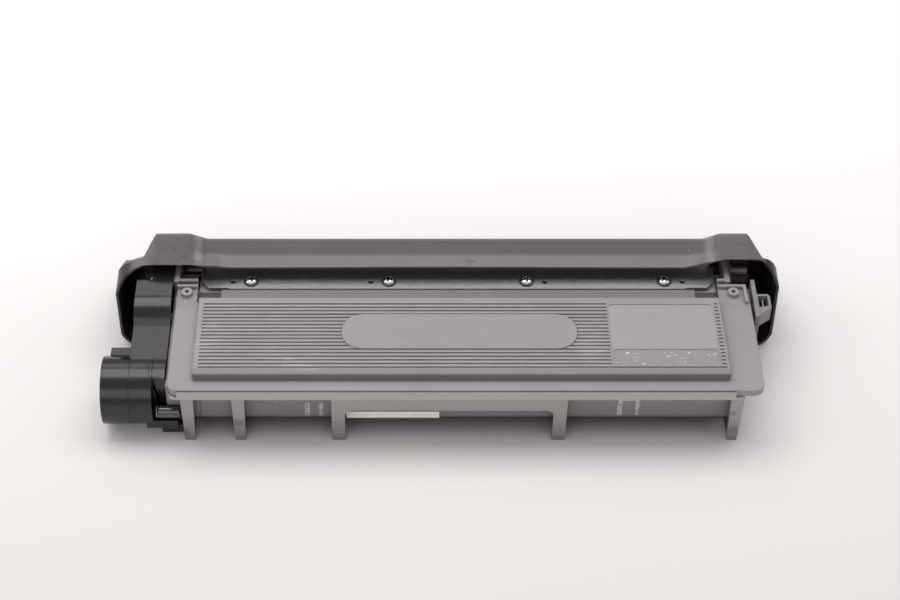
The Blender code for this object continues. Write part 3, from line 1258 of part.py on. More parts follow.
def cheek_section(inset, drop):
    """Section at an end, drawn in by the inset and with its top lowered by the drop."""
    section = ear_section(0)
    lowered = []
    for y, z in section:
        z = z - drop if z > DEVELOPER_AXIS[1] else z
        lowered.append((min(y, COVER_BACK_Y - inset), max(z, inset)))
    lip = lowered[-1]
    lowered[0] = (lowered[0][0] - drop * 1.4, lowered[0][1])
    lowered[-1] = (lip[0], lip[1])
    return lowered


def cover_stations():
    """(X, section) pairs along the cover: cheek, shoulder, ear, plain middle, ear, shoulder, cheek."""
    left, right = COVER_LEFT, COVER_RIGHT
    left_base, right_base = EAR_BASES
    left_top, right_top = EAR_TOPS
    middle = (left + right) / 2
    return [
        (left, cheek_section(8 * MM, 6 * MM)),
        (left + 1.2 * MM, cheek_section(4.5 * MM, 3.4 * MM)),
        (left + 3.6 * MM, cheek_section(1.8 * MM, 1.4 * MM)),
        (left + 7.5 * MM, cheek_section(0, 0)),
        (left_base[0], ear_section(0)),
        (left_top[0], ear_section(1, LEFT_EAR_RIM)),
        (left_top[1], ear_section(1, LEFT_EAR_RIM)),
        (left_base[1], middle_section(0.7 * MM)),
        (middle, middle_section()),
        (right_base[0], middle_section(0.7 * MM)),
        (right_top[0], ear_section(1)),
        (right_top[1], ear_section(1)),
        (right_base[1], ear_section(0)),
        (right - 5 * MM, cheek_section(0, 0)),
        (right - 3 * MM, cheek_section(1.8 * MM, 1.4 * MM)),
        (right - 1.2 * MM, cheek_section(4.5 * MM, 3.4 * MM)),
        (right, cheek_section(8 * MM, 6 * MM)),
    ]


def lofted(name, look, stations, thickness):
    """Sections at stations along X joined by faces, the two end sections filled, and thickened inward."""
    work = bmesh.new()
    rows = [[work.verts.new((x, y, z)) for y, z in section] for x, section in stations]
    for first, second in zip(rows, rows[1:]):
        for i in range(len(first) - 1):
            work.faces.new((first[i], second[i], second[i + 1], first[i + 1]))
    work.faces.new(rows[0])
    work.faces.new(rows[-1][::-1])
    bmesh.ops.recalc_face_normals(work, faces=work.faces)
    mesh = bpy.data.meshes.new(name)
    work.to_mesh(mesh)
    work.free()
    made = link(bpy.data.objects.new(name, mesh), name, look, CARTRIDGE)
    solidify = made.modifiers.new("wall", "SOLIDIFY")
    solidify.thickness = thickness
    solidify.offset = -1
    solidify.use_even_offset = True
    return made


def protective_cover():
    """Thin cover clipped over the developer roller, with two ears and ribs that rest on the end walls."""
    cover = lofted("protective_cover", DARK_PLASTIC, cover_stations(), COVER_WALL)
    rear = DEVELOPER_AXIS[0] + DEVELOPER_RADIUS + 1 * MM + GAP
    inside_back = COVER_BACK_Y - COVER_WALL / 2
    rib_bottom = COVER_WALL / 2
    walls = (HOPPER_LEFT + END_WALL / 2, HOPPER_RIGHT - END_WALL / 2)
    for index, x in enumerate(walls):
        rib_x = (x - COVER_RIB / 2, x + COVER_RIB / 2)
        rear_z = (DEVELOPER_AXIS[1] - 8 * MM, DEVELOPER_AXIS[1])
        add(cover, box(f"rear_rib_{index}", None, rib_x, (rear, inside_back), rear_z))
        floor_top = side_wall_bottom() - GAP
        floor_y = (SUPPLY_AXIS[0] - 6 * MM, SUPPLY_AXIS[0] + 5 * MM)
        add(cover, box(f"floor_rib_{index}", None, rib_x, floor_y, (rib_bottom, floor_top)))
    return cover


def side_wall_bottom():
    """Lowest Z of an end wall over the cover's floor ribs."""
    start = (SUPPLY_AXIS[0] - 15 * MM, BOTTOM_Z + 3.4 * MM)
    return start[1]


def serial_label():
    """Blank remnant of a white sticker on the front wall."""
    x, z = LABEL_STRIP
    return box("serial_label", PAPER, x, (FRONT_WALL_Y - GAP - 0.3 * MM, FRONT_WALL_Y - GAP), z)


# Assembly


def build():
    hopper_shell()
    hopper_lid()
    gear_cover()
    guide_pin()
    electrode_cover()
    bias_contact()
    fill_cap()
    protective_cover()
    serial_label()
    doctor_blade()
    blade_bracket()
    shank = BRACKET_TOP + GAP - SEAT_Z + SEAT_THICK - 2 * MM
    for index in range(SCREW_COUNT):
        place = (screw_x(index), SCREW_Y, BRACKET_TOP + GAP)
        pan_screw(f"blade_screw_{index + 1}", shank, place, (0, 0, 0))
    for index, (axis, face) in enumerate(COVER_SCREWS):
        place = (face - GAP, *axis)
        pan_screw(f"gear_cover_screw_{index + 1}", SCREW_ENGAGED, place, (0, -math.pi / 2, 0))
    place = (ELECTRODE_OUTER + GAP, *electrode_screw_axis())
    pan_screw("electrode_screw", SCREW_ENGAGED, place, X_AXIS_TURN)

    end_seal("end_seal_left", ROLLER_LEFT)
    end_seal("end_seal_right", ROLLER_RIGHT - SEAL_WIDTH)
    lower_seal_film()
    for side, face, direction in (("left", HOPPER_INNER[0], -1), ("right", HOPPER_INNER[1], 1)):
        bush(f"developer_bearing_{side}", DEVELOPER_SHAFT, DEVELOPER_BUSH, face, direction, DEVELOPER_AXIS)
        bush(f"supply_bearing_{side}", SUPPLY_SHAFT, SUPPLY_BUSH, face, direction, SUPPLY_AXIS)

    drive_coupling(empty("coupling_spin", (0, *COUPLING_AXIS), CARTRIDGE))
    agitator(empty("agitator_spin", (0, *AGITATOR_AXIS), CARTRIDGE))
    idler_1 = empty("idler_1_spin", (0, *IDLER_1_AXIS), CARTRIDGE)
    gear_on_stud("idler_gear_1", IDLER_1_TEETH, IDLER_1_PHASE, idler_1)
    idler_2 = empty("idler_2_spin", (0, *IDLER_2_AXIS), CARTRIDGE)
    gear_on_stud("idler_gear_2", IDLER_2_TEETH, IDLER_2_PHASE, idler_2)

    supply = empty("supply_spin", (0, *SUPPLY_AXIS), CARTRIDGE)
    supply_end = CARRIER_RIGHT + 3 * MM
    roller("supply", SUPPLY_RADIUS, SUPPLY_SHAFT, supply_end, FOAM, ROUND, supply)
    gear_x = (GEARS_LEFT, GEARS_RIGHT)
    spur_gear("supply_gear", SUPPLY_TEETH, SUPPLY_PHASE, *gear_x, SUPPLY_SHAFT + PRESS, supply)
    retaining_clip("supply_clip", SUPPLY_SHAFT, CARRIER_RIGHT + GAP, supply)

    developer = empty("developer_spin", (0, *DEVELOPER_AXIS), CARTRIDGE)
    developer_end = CARRIER_RIGHT + 9 * MM
    roller("developer", DEVELOPER_RADIUS, DEVELOPER_SHAFT, developer_end, RUBBER, 36, developer)
    spur_gear("developer_gear", DEVELOPER_TEETH, DEVELOPER_PHASE, *gear_x, DEVELOPER_SHAFT + PRESS, developer)
    retaining_clip("developer_clip", DEVELOPER_SHAFT, CARRIER_RIGHT + GAP, developer)

    front = FLANGE_FRONT_Y
    middle_y = (front + COVER_BACK_Y) / 2
    CARTRIDGE.location = (-(SHROUD_LEFT + COVER_RIGHT) / 2, -middle_y, 0)


build()
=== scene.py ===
"""A grey laser toner cartridge with its dark clip-on cover, lying on a white table."""

import math

import bmesh
import bpy
import numpy as np
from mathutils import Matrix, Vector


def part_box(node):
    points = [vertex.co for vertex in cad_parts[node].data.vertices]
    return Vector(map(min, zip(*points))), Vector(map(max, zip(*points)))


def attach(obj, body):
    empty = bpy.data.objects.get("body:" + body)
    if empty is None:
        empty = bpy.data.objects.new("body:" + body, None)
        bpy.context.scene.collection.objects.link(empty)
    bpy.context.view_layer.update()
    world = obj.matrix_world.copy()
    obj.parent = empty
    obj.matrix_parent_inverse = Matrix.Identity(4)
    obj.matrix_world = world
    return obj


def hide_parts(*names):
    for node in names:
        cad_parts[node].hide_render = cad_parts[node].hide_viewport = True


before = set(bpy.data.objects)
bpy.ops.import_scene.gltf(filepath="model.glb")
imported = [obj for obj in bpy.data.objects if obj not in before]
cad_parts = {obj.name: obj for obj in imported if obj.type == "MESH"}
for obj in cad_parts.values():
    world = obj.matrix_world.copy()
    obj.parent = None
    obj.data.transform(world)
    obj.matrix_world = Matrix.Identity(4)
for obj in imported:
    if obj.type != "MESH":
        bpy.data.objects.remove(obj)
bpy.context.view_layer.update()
MM = 0.001


# Hopper shell
# The lower half of the toner box, injection moulded in dark grey polystyrene, with three legs and a handle.
# Its skin has a fine spark grain, rubbed pale on the corners, dusty in the hollows and darkened there by
# painted shade.


def add_node(tree, kind, sockets=(), **settings):
    """A shader node of that kind; a socket's value is a plain one or the socket that feeds it."""
    made = tree.nodes.new("ShaderNode" + kind)
    for name, value in settings.items():
        setattr(made, name, value)
    for name, value in dict(sockets).items():
        if isinstance(value, bpy.types.NodeSocket):
            tree.links.new(value, made.inputs[name])
        else:
            made.inputs[name].default_value = value
    return made


def new_group(name, inputs, outputs):
    """An empty node group with float or colour sockets, and its two end nodes."""
    tree = bpy.data.node_groups.new(name, "ShaderNodeTree")
    for direction, sockets in (("INPUT", inputs), ("OUTPUT", outputs)):
        for label, kind in sockets:
            tree.interface.new_socket(label, in_out=direction, socket_type="NodeSocket" + kind)
    return tree, tree.nodes.new("NodeGroupInput").outputs, tree.nodes.new("NodeGroupOutput").inputs


def object_place(tree, scale=(1, 1, 1), turn=(0, 0, 0)):
    """Object coordinates, stretched and turned."""
    place = add_node(tree, "TexCoord").outputs["Object"]
    return add_node(tree, "Mapping", {"Vector": place, "Scale": scale, "Rotation": turn}).outputs["Vector"]


def band(tree, value, low, high, to_low=0.0, to_high=1.0):
    """value carried smoothly from low..high to to_low..to_high, and held at the ends."""
    sockets = {"Value": value, "From Min": low, "From Max": high, "To Min": to_low, "To Max": to_high}
    return add_node(tree, "MapRange", sockets, interpolation_type="SMOOTHSTEP").outputs["Result"]


def calculate(tree, operation, first, second):
    made = add_node(tree, "Math", operation=operation)
    for socket, value in zip(made.inputs, (first, second)):
        if isinstance(value, bpy.types.NodeSocket):
            tree.links.new(value, socket)
        else:
            socket.default_value = value
    return made.outputs[0]


def product(tree, *factors):
    total = factors[0]
    for factor in factors[1:]:
        total = calculate(tree, "MULTIPLY", total, factor)
    return total


def axis_of(tree, vector, axis):
    """The part of a vector along X, Y or Z."""
    return add_node(tree, "SeparateXYZ", {"Vector": vector}).outputs[axis]


def facing_up(tree):
    """1 where the surface looks straight up, 0 where it is upright."""
    return axis_of(tree, add_node(tree, "NewGeometry").outputs["Normal"], "Z")


def noise(tree, place, scale, detail=2.0, roughness=0.5):
    sockets = {"Vector": place, "Scale": scale, "Detail": detail, "Roughness": roughness}
    return add_node(tree, "TexNoise", sockets).outputs["Fac"]


def mixed(tree, mask, under, over, how="MIX"):
    """The colour under, with the colour over laid on it where the mask is 1."""
    made = add_node(tree, "Mix", data_type="RGBA", blend_type=how)
    for label, value in (("Factor", mask), ("A", under), ("B", over)):
        socket = next(s for s in made.inputs if s.name == label and s.enabled)
        if isinstance(value, bpy.types.NodeSocket):
            tree.links.new(value, socket)
        else:
            socket.default_value = value
    return next(s for s in made.outputs if s.enabled)


REACH_AND_AMOUNT = [("Reach", "Float"), ("Amount", "Float")]


def rubbed_corner_group():
    """Mask of outward corners: how much of a small ball inside the plastic is open air, broken by noise."""
    tree, given, out = new_group("rubbed_corner", REACH_AND_AMOUNT, [("Mask", "Float")])
    ball = add_node(tree, "AmbientOcclusion", {"Distance": given["Reach"]}, samples=8, inside=True)
    inside = ball.outputs["AO"]
    patches = band(tree, noise(tree, object_place(tree), 160, 3), 0.35, 0.65)
    corner = band(tree, inside, 0.75, 0.35)
    tree.links.new(product(tree, corner, patches, given["Amount"]), out["Mask"])
    return tree


def grime_and_shade_group():
    """Mask of inward corners and narrow gaps, where dust and toner settle; it also lays painted shade there.
    """
    tree, given, out = new_group("grime_and_painted_shade", REACH_AND_AMOUNT, [("Mask", "Float")])
    outside = add_node(tree, "AmbientOcclusion", {"Distance": given["Reach"]}, samples=8).outputs["AO"]
    patches = band(tree, noise(tree, object_place(tree), 90, 4), 0.25, 0.7, 0.35, 1.0)
    grime_and_shade_mask = band(tree, outside, 0.85, 0.3)
    tree.links.new(product(tree, grime_and_shade_mask, patches, given["Amount"]), out["Mask"])
    return tree


def scratch_group():
    """Mask of fine scratches: the crests of two noises drawn out along two slants."""
    tree, given, out = new_group("scratches", [("Amount", "Float")], [("Mask", "Float")])
    total = 0.0
    families = ((0, 0, 0.35), (60, 2600, 2600), 0.66), ((0, 0, -0.9), (90, 3100, 3100), 0.68)
    for turn, stretch, low in families:
        lines = band(tree, noise(tree, object_place(tree, stretch, turn), 1, 1), low, low + 0.06)
        patches = band(tree, noise(tree, object_place(tree), 45, 2), 0.45, 0.7)
        total = calculate(tree, "MAXIMUM", total, product(tree, lines, patches))
    tree.links.new(product(tree, total, given["Amount"]), out["Mask"])
    return tree


def dust_group():
    """Mask of dust: specks from the cells of a Voronoi pattern, thicker on faces that look up."""
    tree, given, out = new_group("dust", [("Amount", "Float")], [("Mask", "Float")])
    cells = add_node(tree, "TexVoronoi", {"Vector": object_place(tree), "Scale": 420.0, "Randomness": 1.0})
    specks = band(tree, cells.outputs["Distance"], 0.16, 0.07)
    lone = band(tree, noise(tree, object_place(tree), 150, 1), 0.6, 0.72)
    up = band(tree, facing_up(tree), 0.1, 0.8, 0.25, 1.0)
    tree.links.new(product(tree, specks, lone, up, given["Amount"]), out["Mask"])
    return tree


def grain_group():
    """Skin of a moulding: Height from fine pits, and Tone, a slow drift of the colour about 1."""
    sockets = [("Scale", "Float"), ("Drift", "Float")], [("Height", "Float"), ("Tone", "Float")]
    tree, given, out = new_group("grain", *sockets)
    place = object_place(tree)
    tree.links.new(noise(tree, place, given["Scale"], 3, 0.6), out["Height"])
    slow = calculate(tree, "SUBTRACT", noise(tree, place, 28, 4, 0.55), 0.5)
    tree.links.new(calculate(tree, "ADD", product(tree, slow, given["Drift"]), 1.0), out["Tone"])
    return tree


RUBBED_CORNER = rubbed_corner_group()
GRIME_AND_SHADE = grime_and_shade_group()
SCRATCHES = scratch_group()
DUST = dust_group()
GRAIN = grain_group()


def use(tree, group, output, **sockets):
    """One output of a shared node group, its inputs set to these plain values."""
    made = tree.nodes.new("ShaderNodeGroup")
    made.node_tree = group
    for name, value in sockets.items():
        made.inputs[name].default_value = value
    return made.outputs[output]


CORNER_REACH = 0.9 * MM  # radius of the ball that finds outward corners
HOLLOW_REACH = 3.0 * MM
DUST_GREY = (0.62, 0.6, 0.58)
FLAT_TURN, CORNER_TURN = math.radians(0.6), math.radians(25)  # up to here one flat, from here a corner


def finish(name, colour, roughness, metallic=0.0, grain=(2600.0, 0.05), drift=0.25, rubbed=0.5, grime_and_shade=0.5,
           scratches=0.5, dust=0.5, pale=None, coat=0.0, marks=None):
    """A material: the colour drifts slowly, pale on rubbed corners, dark in hollows from grime and painted
    shade, scratched and dusty.
    """
    made = bpy.data.materials.new(name)
    made.use_nodes = True
    tree = made.node_tree
    shader = tree.nodes["Principled BSDF"]
    tone = use(tree, GRAIN, "Tone", Scale=grain[0], Drift=drift)
    pale = pale or tuple(min(1.0, c * 1.7 + 0.05) for c in colour)
    corner = use(tree, RUBBED_CORNER, "Mask", Reach=CORNER_REACH, Amount=rubbed)
    grime_and_shade_mask = use(tree, GRIME_AND_SHADE, "Mask", Reach=HOLLOW_REACH, Amount=grime_and_shade)
    lines = use(tree, SCRATCHES, "Mask", Amount=scratches)
    specks = use(tree, DUST, "Mask", Amount=dust)
    tones = add_node(tree, "CombineColor", {"Red": tone, "Green": tone, "Blue": tone}).outputs["Color"]
    looks = mixed(tree, 1.0, (*colour, 1), tones, "MULTIPLY")
    # grime and painted shade: hollows laid at a quarter of the colour
    looks = mixed(tree, grime_and_shade_mask, looks, (*(c * 0.25 for c in colour), 1))
    looks = mixed(tree, corner, looks, (*pale, 1))
    looks = mixed(tree, lines, looks, (*pale, 1))
    if marks:
        looks = marks(tree, looks)
    looks = mixed(tree, specks, looks, (*DUST_GREY, 1))
    tree.links.new(looks, shader.inputs["Base Color"])
    height = use(tree, GRAIN, "Height", Scale=grain[0], Drift=drift)
    rough = calculate(tree, "ADD", band(tree, height, 0.3, 0.7, -0.05, 0.05), roughness)
    dull = product(tree, calculate(tree, "MAXIMUM", lines, specks), 0.3)
    rough = calculate(tree, "ADD", rough, dull)
    tree.links.new(rough, shader.inputs["Roughness"])
    bumped = calculate(tree, "SUBTRACT", height, product(tree, lines, 0.6))
    bump = add_node(tree, "Bump", {"Strength": 1.0, "Distance": grain[1] * MM, "Height": bumped})
    tree.links.new(bump.outputs["Normal"], shader.inputs["Normal"])
    shader.inputs["Metallic"].default_value = metallic
    shader.inputs["Coat Weight"].default_value = coat
    return made


def shown(made, slot, *nodes):
    """Makes a new piece ride with the cartridge and stand for these CAD nodes."""
    if made.name not in bpy.context.scene.collection.objects:
        bpy.context.scene.collection.objects.link(made)
    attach(made, "cartridge_frame")
    if nodes:
        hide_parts(*nodes)
    return made


def eased(node, width, look, slot, joined=True, merge=0.002 * MM):
    """A copy of a CAD solid, joined back into flat faces if asked, with every clear corner rounded."""
    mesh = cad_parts[node].data.copy()
    form = bmesh.new()
    form.from_mesh(mesh)
    bmesh.ops.remove_doubles(form, verts=form.verts, dist=merge)
    if joined:
        bmesh.ops.dissolve_limit(form, verts=form.verts, edges=form.edges, angle_limit=FLAT_TURN)
    for face in form.faces:
        face.smooth = True
    form.to_mesh(mesh)
    form.free()
    mesh.materials.clear()
    mesh.materials.append(look)
    made = bpy.data.objects.new(node + "_moulding", mesh)
    bevel = made.modifiers.new("corners", "BEVEL")
    bevel.width = width
    bevel.segments = 2
    bevel.limit_method = "ANGLE"
    bevel.angle_limit = CORNER_TURN
    bevel.use_clamp_overlap = False
    flat = made.modifiers.new("flat_faces", "WEIGHTED_NORMAL")
    flat.mode = "FACE_AREA"
    flat.weight = 100
    return shown(made, slot, node)


def in_mm(tree):
    return object_place(tree, (1000, 1000, 1000))


def patch(tree, spans, fray=0.0, soft=0.25):
    """Mask that is 1 inside the spans of X, Y and Z in millimetres, its soft edge frayed by a noise."""
    place = in_mm(tree)
    shift = product(tree, calculate(tree, "SUBTRACT", noise(tree, place, 0.9, 3, 0.7), 0.5), 2 * fray)
    masks = []
    for axis, span in zip("XYZ", spans):
        if span:
            value = calculate(tree, "ADD", axis_of(tree, place, axis), shift)
            masks.append(band(tree, value, span[0] - soft, span[0] + soft))
            masks.append(band(tree, value, span[1] + soft, span[1] - soft))
    return product(tree, *masks)


def laid(tree, looks, mask, amount, colour):
    return mixed(tree, product(tree, mask, amount), looks, (*colour, 1))


def laid_patches(tree, looks, colour_patches):
    """The looks with colour patches laid on in turn, each one's spans, fray, soft edge, amount and colour:
    stains, and also painted light and shade.
    """
    for spans, fray, soft, amount, colour in colour_patches:
        looks = laid(tree, looks, patch(tree, spans, fray, soft), amount, colour)
    return looks


FRONT_WALL = (-48, -45.5)  # Y span of the front wall's face
TORN_WHITE, FRONT_LIT_PALE = (0.7, 0.68, 0.67), (0.66, 0.62, 0.61)
# the second pair: black for real scuffs, and the brown-grey of painted shade
SCUFF_BLACK, PAINTED_SHADE_BROWN = (0.05, 0.045, 0.045), (0.07, 0.064, 0.064)
SCARS = (-64.2, -56.2, 10, 18.5, 0.0), (78.2, 87.8, 10.5, 21.5, 0.8)  # left, right, low, high, top bar
KNOCKS = (-121, -117, 3, 8), (-97, -92.5, 10, 14), (128.5, 133, 5, 9), (128, 131, 17, 20)


def hopper_marks(tree, looks):
    """Whitened scars of snapped off tabs, dried dirt on the front wall, dark scuffs on the legs, front faces
    laid paler as painted light, a painted shade line in the seam along the lid, and painted shade on the
    front wall, on the body towards the table and under it."""
    torn = band(tree, noise(tree, object_place(tree, (1, 1, 0.5)), 700, 3, 0.7), 0.34, 0.5)
    for left, right, low, high, bar in SCARS:
        strips = (
            ((left, left + 2.0), (low, high), 0.9),
            ((right - 1.5, right), (low, high), 0.9),
            ((left, right), (high - 1.4, high), bar),
        )
        for x, z, amount in strips:
            scar = product(tree, patch(tree, (x, FRONT_WALL, z), 1.3, 0.35), torn)
            looks = laid(tree, looks, scar, amount, TORN_WHITE)
    specks = band(tree, noise(tree, object_place(tree), 900, 2, 0.6), 0.54, 0.66)
    dirty = patch(tree, ((-84, -64), FRONT_WALL, (10, 27)), 5.0, 2.0)
    looks = laid(tree, looks, product(tree, specks, dirty), 0.8, (0.06, 0.05, 0.05))
    for left, right, low, high in KNOCKS:
        knock = patch(tree, ((left, right), (-54, -51.5), (low, high)), 2.0, 0.5)
        looks = laid(tree, looks, knock, 0.75, SCUFF_BLACK)
    looks = laid_patches(tree, looks, (
        # painted light: the front faces of the legs, handle and flange laid paler, as if lit from the front
        ((None, (-56, -51.7), (3, 40)), 0.2, 1.0, 0.22, FRONT_LIT_PALE),
        ((None, (-56, -53), (28, 40)), 0.0, 0.5, 0.22, FRONT_LIT_PALE),
        # painted shade: a dark line in the seam under the lid's front edge
        ((None, (-53.9, -52), (33.7, 34.8)), 0.0, 0.12, 0.85, (0.05, 0.046, 0.046)),
        # painted shade on the front wall under the flange
        ((None, (-47.6, -45.2), (6, 29)), 0.0, 0.4, 0.2, PAINTED_SHADE_BROWN),
    ))
    height = axis_of(tree, in_mm(tree), "Z")
    # painted shade: the body laid darker towards the table
    looks = laid(tree, looks, band(tree, height, 22, 3), 0.4, PAINTED_SHADE_BROWN)
    # painted shade under the body, low down from the front wall back
    under = patch(tree, (None, (-47, 30), None), 0.0, 0.5)
    looks = laid(tree, looks, band(tree, height, 10.5, 7.5), under, (0.02, 0.018, 0.018))
    return laid_patches(tree, looks, [(((-112.1, -111.7), FRONT_WALL, (6, 28)), 0.05, 0.12, 0.7, SCUFF_BLACK)])


GREY = (0.265, 0.239, 0.242)
HOPPER_LOOK = finish("hopper_plastic", GREY, 0.42, rubbed=0.6, grime_and_shade=0.7, scratches=0.6, dust=0.6,
                     marks=hopper_marks)
eased("hopper_shell", 0.2 * MM, HOPPER_LOOK, "grey_plastic")


# Hopper lid
# The upper half, moulded in the same grey, with a ribbed field, a blank raised plaque and two label recesses.
# It is welded to the shell all round its flange.

PALE_WEAR, SMOOTH_DARK = (0.6, 0.58, 0.57), (0.1, 0.093, 0.095)
LID_STAINS_AND_SHADE = (
    # painted shade on the ledge behind the panel
    (((-115, 128), (3.0, 14), (30, 34.8)), 0.0, 0.4, 0.6, (0.12, 0.112, 0.114)),  # ledge behind the panel
    # painted shade in the ledge's two sunk ends
    (((-116, -104.7), (2.9, 14), (30, 33.2)), 0.0, 0.3, 0.8, (0.03, 0.028, 0.029)),  # its two sunk ends
    (((117, 128), (2.9, 14), (30, 33.2)), 0.0, 0.3, 0.8, (0.03, 0.028, 0.029)),
    (((-126, 143), (-1, 14), (34, 34.8)), 0.0, 1.5, 0.25, (0.1, 0.095, 0.096)),  # pads
    (((75, 123.6), (-29.7, -2), (37, 38.1)), 0.0, 0.1, 0.08, (0.7, 0.67, 0.67)),  # label recess
    (((-115, 130), (-47, -43), (36, 39)), 0.0, 0.3, 0.42, SMOOTH_DARK),  # plain edge in front of the ribs
    # painted shade on the panel's front face
    (((-115, 130), (-47, -46.2), (34.2, 38.0)), 0.0, 0.1, 0.35, (0.06, 0.056, 0.057)),
)
WORN_RIBS = ((-115, -104), (-34, -10)), ((-74, -58), (-44, -33)), ((60, 72), (-40, -2))  # X and Y spans
STRIP = ((76, 122.5), (-40, -30.6), (36, 37.6))  # the small recess in front of the label's


def lid_marks(tree, looks):
    """Ledges behind the panel and their sunk ends darkened as painted shade, the panel's front face in
    painted shade, worn pale streaks across the ribs and in the small recess.
    """
    looks = laid_patches(tree, looks, LID_STAINS_AND_SHADE)
    streaks = band(tree, noise(tree, object_place(tree, (40, 900, 900), (0, 0, 0.5)), 1, 2), 0.5, 0.66)
    for x, y in WORN_RIBS:
        worn = patch(tree, (x, y, (36, 39)), 4.0, 3.0)
        looks = laid(tree, looks, product(tree, worn, streaks), 0.5, PALE_WEAR)
    strip = patch(tree, STRIP, 0.0, 0.2)
    looks = laid(tree, looks, strip, 0.2, (0.17, 0.16, 0.165))
    wiped = band(tree, noise(tree, object_place(tree, (240, 700, 700), (0, 0, -0.5)), 1, 5, 0.7), 0.6, 0.68)
    return laid(tree, looks, product(tree, strip, wiped), 0.85, (0.8, 0.78, 0.77))


LID_GREY = (0.265, 0.239, 0.243)
LID_LOOK = finish("lid_plastic", LID_GREY, 0.4, rubbed=0.6, grime_and_shade=0.25, scratches=0.25, dust=0.5,
                  marks=lid_marks)
eased("hopper_lid", 0.12 * MM, LID_LOOK, "grey_plastic", joined=False)


# Gear cover and guide pin
# A thin cap over the gears, moulded in black acetal with a polished skin and screwed to the shell's left end.
# The pin at its front corner guides the cartridge along the printer's rail; a plug of the same black closes
# the filling hole at the other end.

BLACK = (0.012, 0.011, 0.0115)
BLACK_LOOK = finish("polished_black", BLACK, 0.2, grain=(900.0, 0.008), rubbed=0.2, grime_and_shade=0.2, scratches=0.12,
                    dust=0.5, pale=(0.16, 0.15, 0.15))
eased("gear_cover", 0.2 * MM, BLACK_LOOK, "black_plastic", merge=0.12 * MM)


def pin_painted_highlight(tree, looks):
    """A painted highlight: the pin's rounded end laid bright."""
    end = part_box("guide_pin")[0][0] / MM
    # painted highlight on the pin's left end
    return laid_patches(tree, looks, [(((end - 1, end + 1), None, None), 0.3, 0.3, 0.8, (0.62, 0.61, 0.61))])


PIN_LOOK = finish("polished_pin", (0.03, 0.029, 0.03), 0.1, grain=(900.0, 0.004), rubbed=0.1, grime_and_shade=0.2,
                  scratches=0.1, dust=0.2, coat=1.0, marks=pin_painted_highlight)
eased("guide_pin", 1.2 * MM, PIN_LOOK, "black_plastic")
eased("fill_cap", 0.2 * MM, BLACK_LOOK, "black_plastic")


# Electrode cover and contact
# The grey end cap at the right, moulded like the shell and held to it by one screw. Its pocket holds a bright
# contact leaf, pressed from plated steel.

ELECTRODE_LOOK = finish("electrode_plastic", (0.2, 0.187, 0.187), 0.45, rubbed=0.6, grime_and_shade=0.7)
eased("electrode_cover", 0.15 * MM, ELECTRODE_LOOK, "grey_plastic")


# Blade bracket, blade and screw marks
# A pressed and nickel plated steel strip that clamps the thin blade along the back of the lid. Four pan head
# screws hold it, and a dark ring is laid round each.


def carry(look, *nodes):
    for node in nodes:
        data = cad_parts[node].data
        data.materials.clear()
        data.materials.append(look)


SCREW_FIRST_X, SCREW_PITCH, SCREW_Y = -90.95, 64.77, 16.62
SCREW_X = tuple(SCREW_FIRST_X + SCREW_PITCH * index for index in range(4))
DARK_RING_RADII = (2.2, 2.8, 3.2, 4.0)  # radii where the dark ring round a head starts, is full, and ends


def from_screw(tree, x):
    """Distance in millimetres from a screw's axis."""
    flat = object_place(tree, (1000, 1000, 0))
    return add_node(tree, "VectorMath", {0: flat, 1: (x, SCREW_Y, 0)}, operation="DISTANCE").outputs["Value"]


def plate_marks(tree, looks):
    """A dark ring laid round every screw head."""
    start, full, fading, end = DARK_RING_RADII
    for x in SCREW_X:
        away = from_screw(tree, x)
        ring = product(tree, band(tree, away, start, full), band(tree, away, end, fading))
        looks = laid(tree, looks, ring, 0.75, (0.05, 0.05, 0.05))
    return looks


PLATE_LOOK = finish("plated_steel", (0.36, 0.365, 0.375), 0.47, 1.0, grain=(500.0, 0.001), drift=0.08,
                    rubbed=0.2, grime_and_shade=0.3, scratches=0.3, dust=0.4, marks=plate_marks)
eased("blade_bracket", 0.12 * MM, PLATE_LOOK, "steel")


def head_marks(tree, looks):
    """The steep walls of the cross recess laid near black."""
    steep = band(tree, facing_up(tree), 0.9, 0.75)
    for x in SCREW_X:
        inside = product(tree, band(tree, from_screw(tree, x), 2.1, 1.8), steep)
        looks = laid(tree, looks, inside, 0.95, (0.02, 0.02, 0.02))
    return looks


BRIGHT_LOOK = finish("bright_plate", (0.5, 0.5, 0.49), 0.2, 1.0, grain=(900.0, 0.004), drift=0.1, rubbed=0.1,
                     grime_and_shade=0.5, scratches=0.1, dust=0.1, marks=head_marks)
carry(BRIGHT_LOOK, "bias_contact", "gear_cover_screw_1", "gear_cover_screw_2", "electrode_screw")
BLADE_LOOK = finish("blade_steel", (0.2, 0.2, 0.205), 0.5, 1.0, grain=(700.0, 0.005), rubbed=0.1, grime_and_shade=0.3)
carry(BLADE_LOOK, "doctor_blade", "developer_shaft", "supply_shaft", "developer_clip", "supply_clip")


# Protective cover
# A thin shell in a darker grey, clipped over the developer roller for storage, with an ear over each end.
# It is moulded in one piece, and its end cheeks are laid near black as painted shade.

ARROW_X, ARROW_HALF_SHAFT, ARROW_SLOPE = 11.6, 0.8, 0.55
ARROW_TAIL, ARROW_NECK, ARROW_TIP = 20.0, 21.3, 23.5  # its Y from tail to tip
CHEEK_SHADE = (
    # painted shade on the two end cheeks
    (((-160, -147.5), None, None), 0.3, 1.6, 0.95, (0.028, 0.025, 0.022)),
    (((150.0, 160), None, None), 0.3, 1.6, 0.95, (0.008, 0.008, 0.008)),
)
# painted highlight on each ear's inner flank
HIGHLIT_FLANKS = (-117.5, -114.0), (122.5, 126)
EARS = (-140, -114), (124, 150)


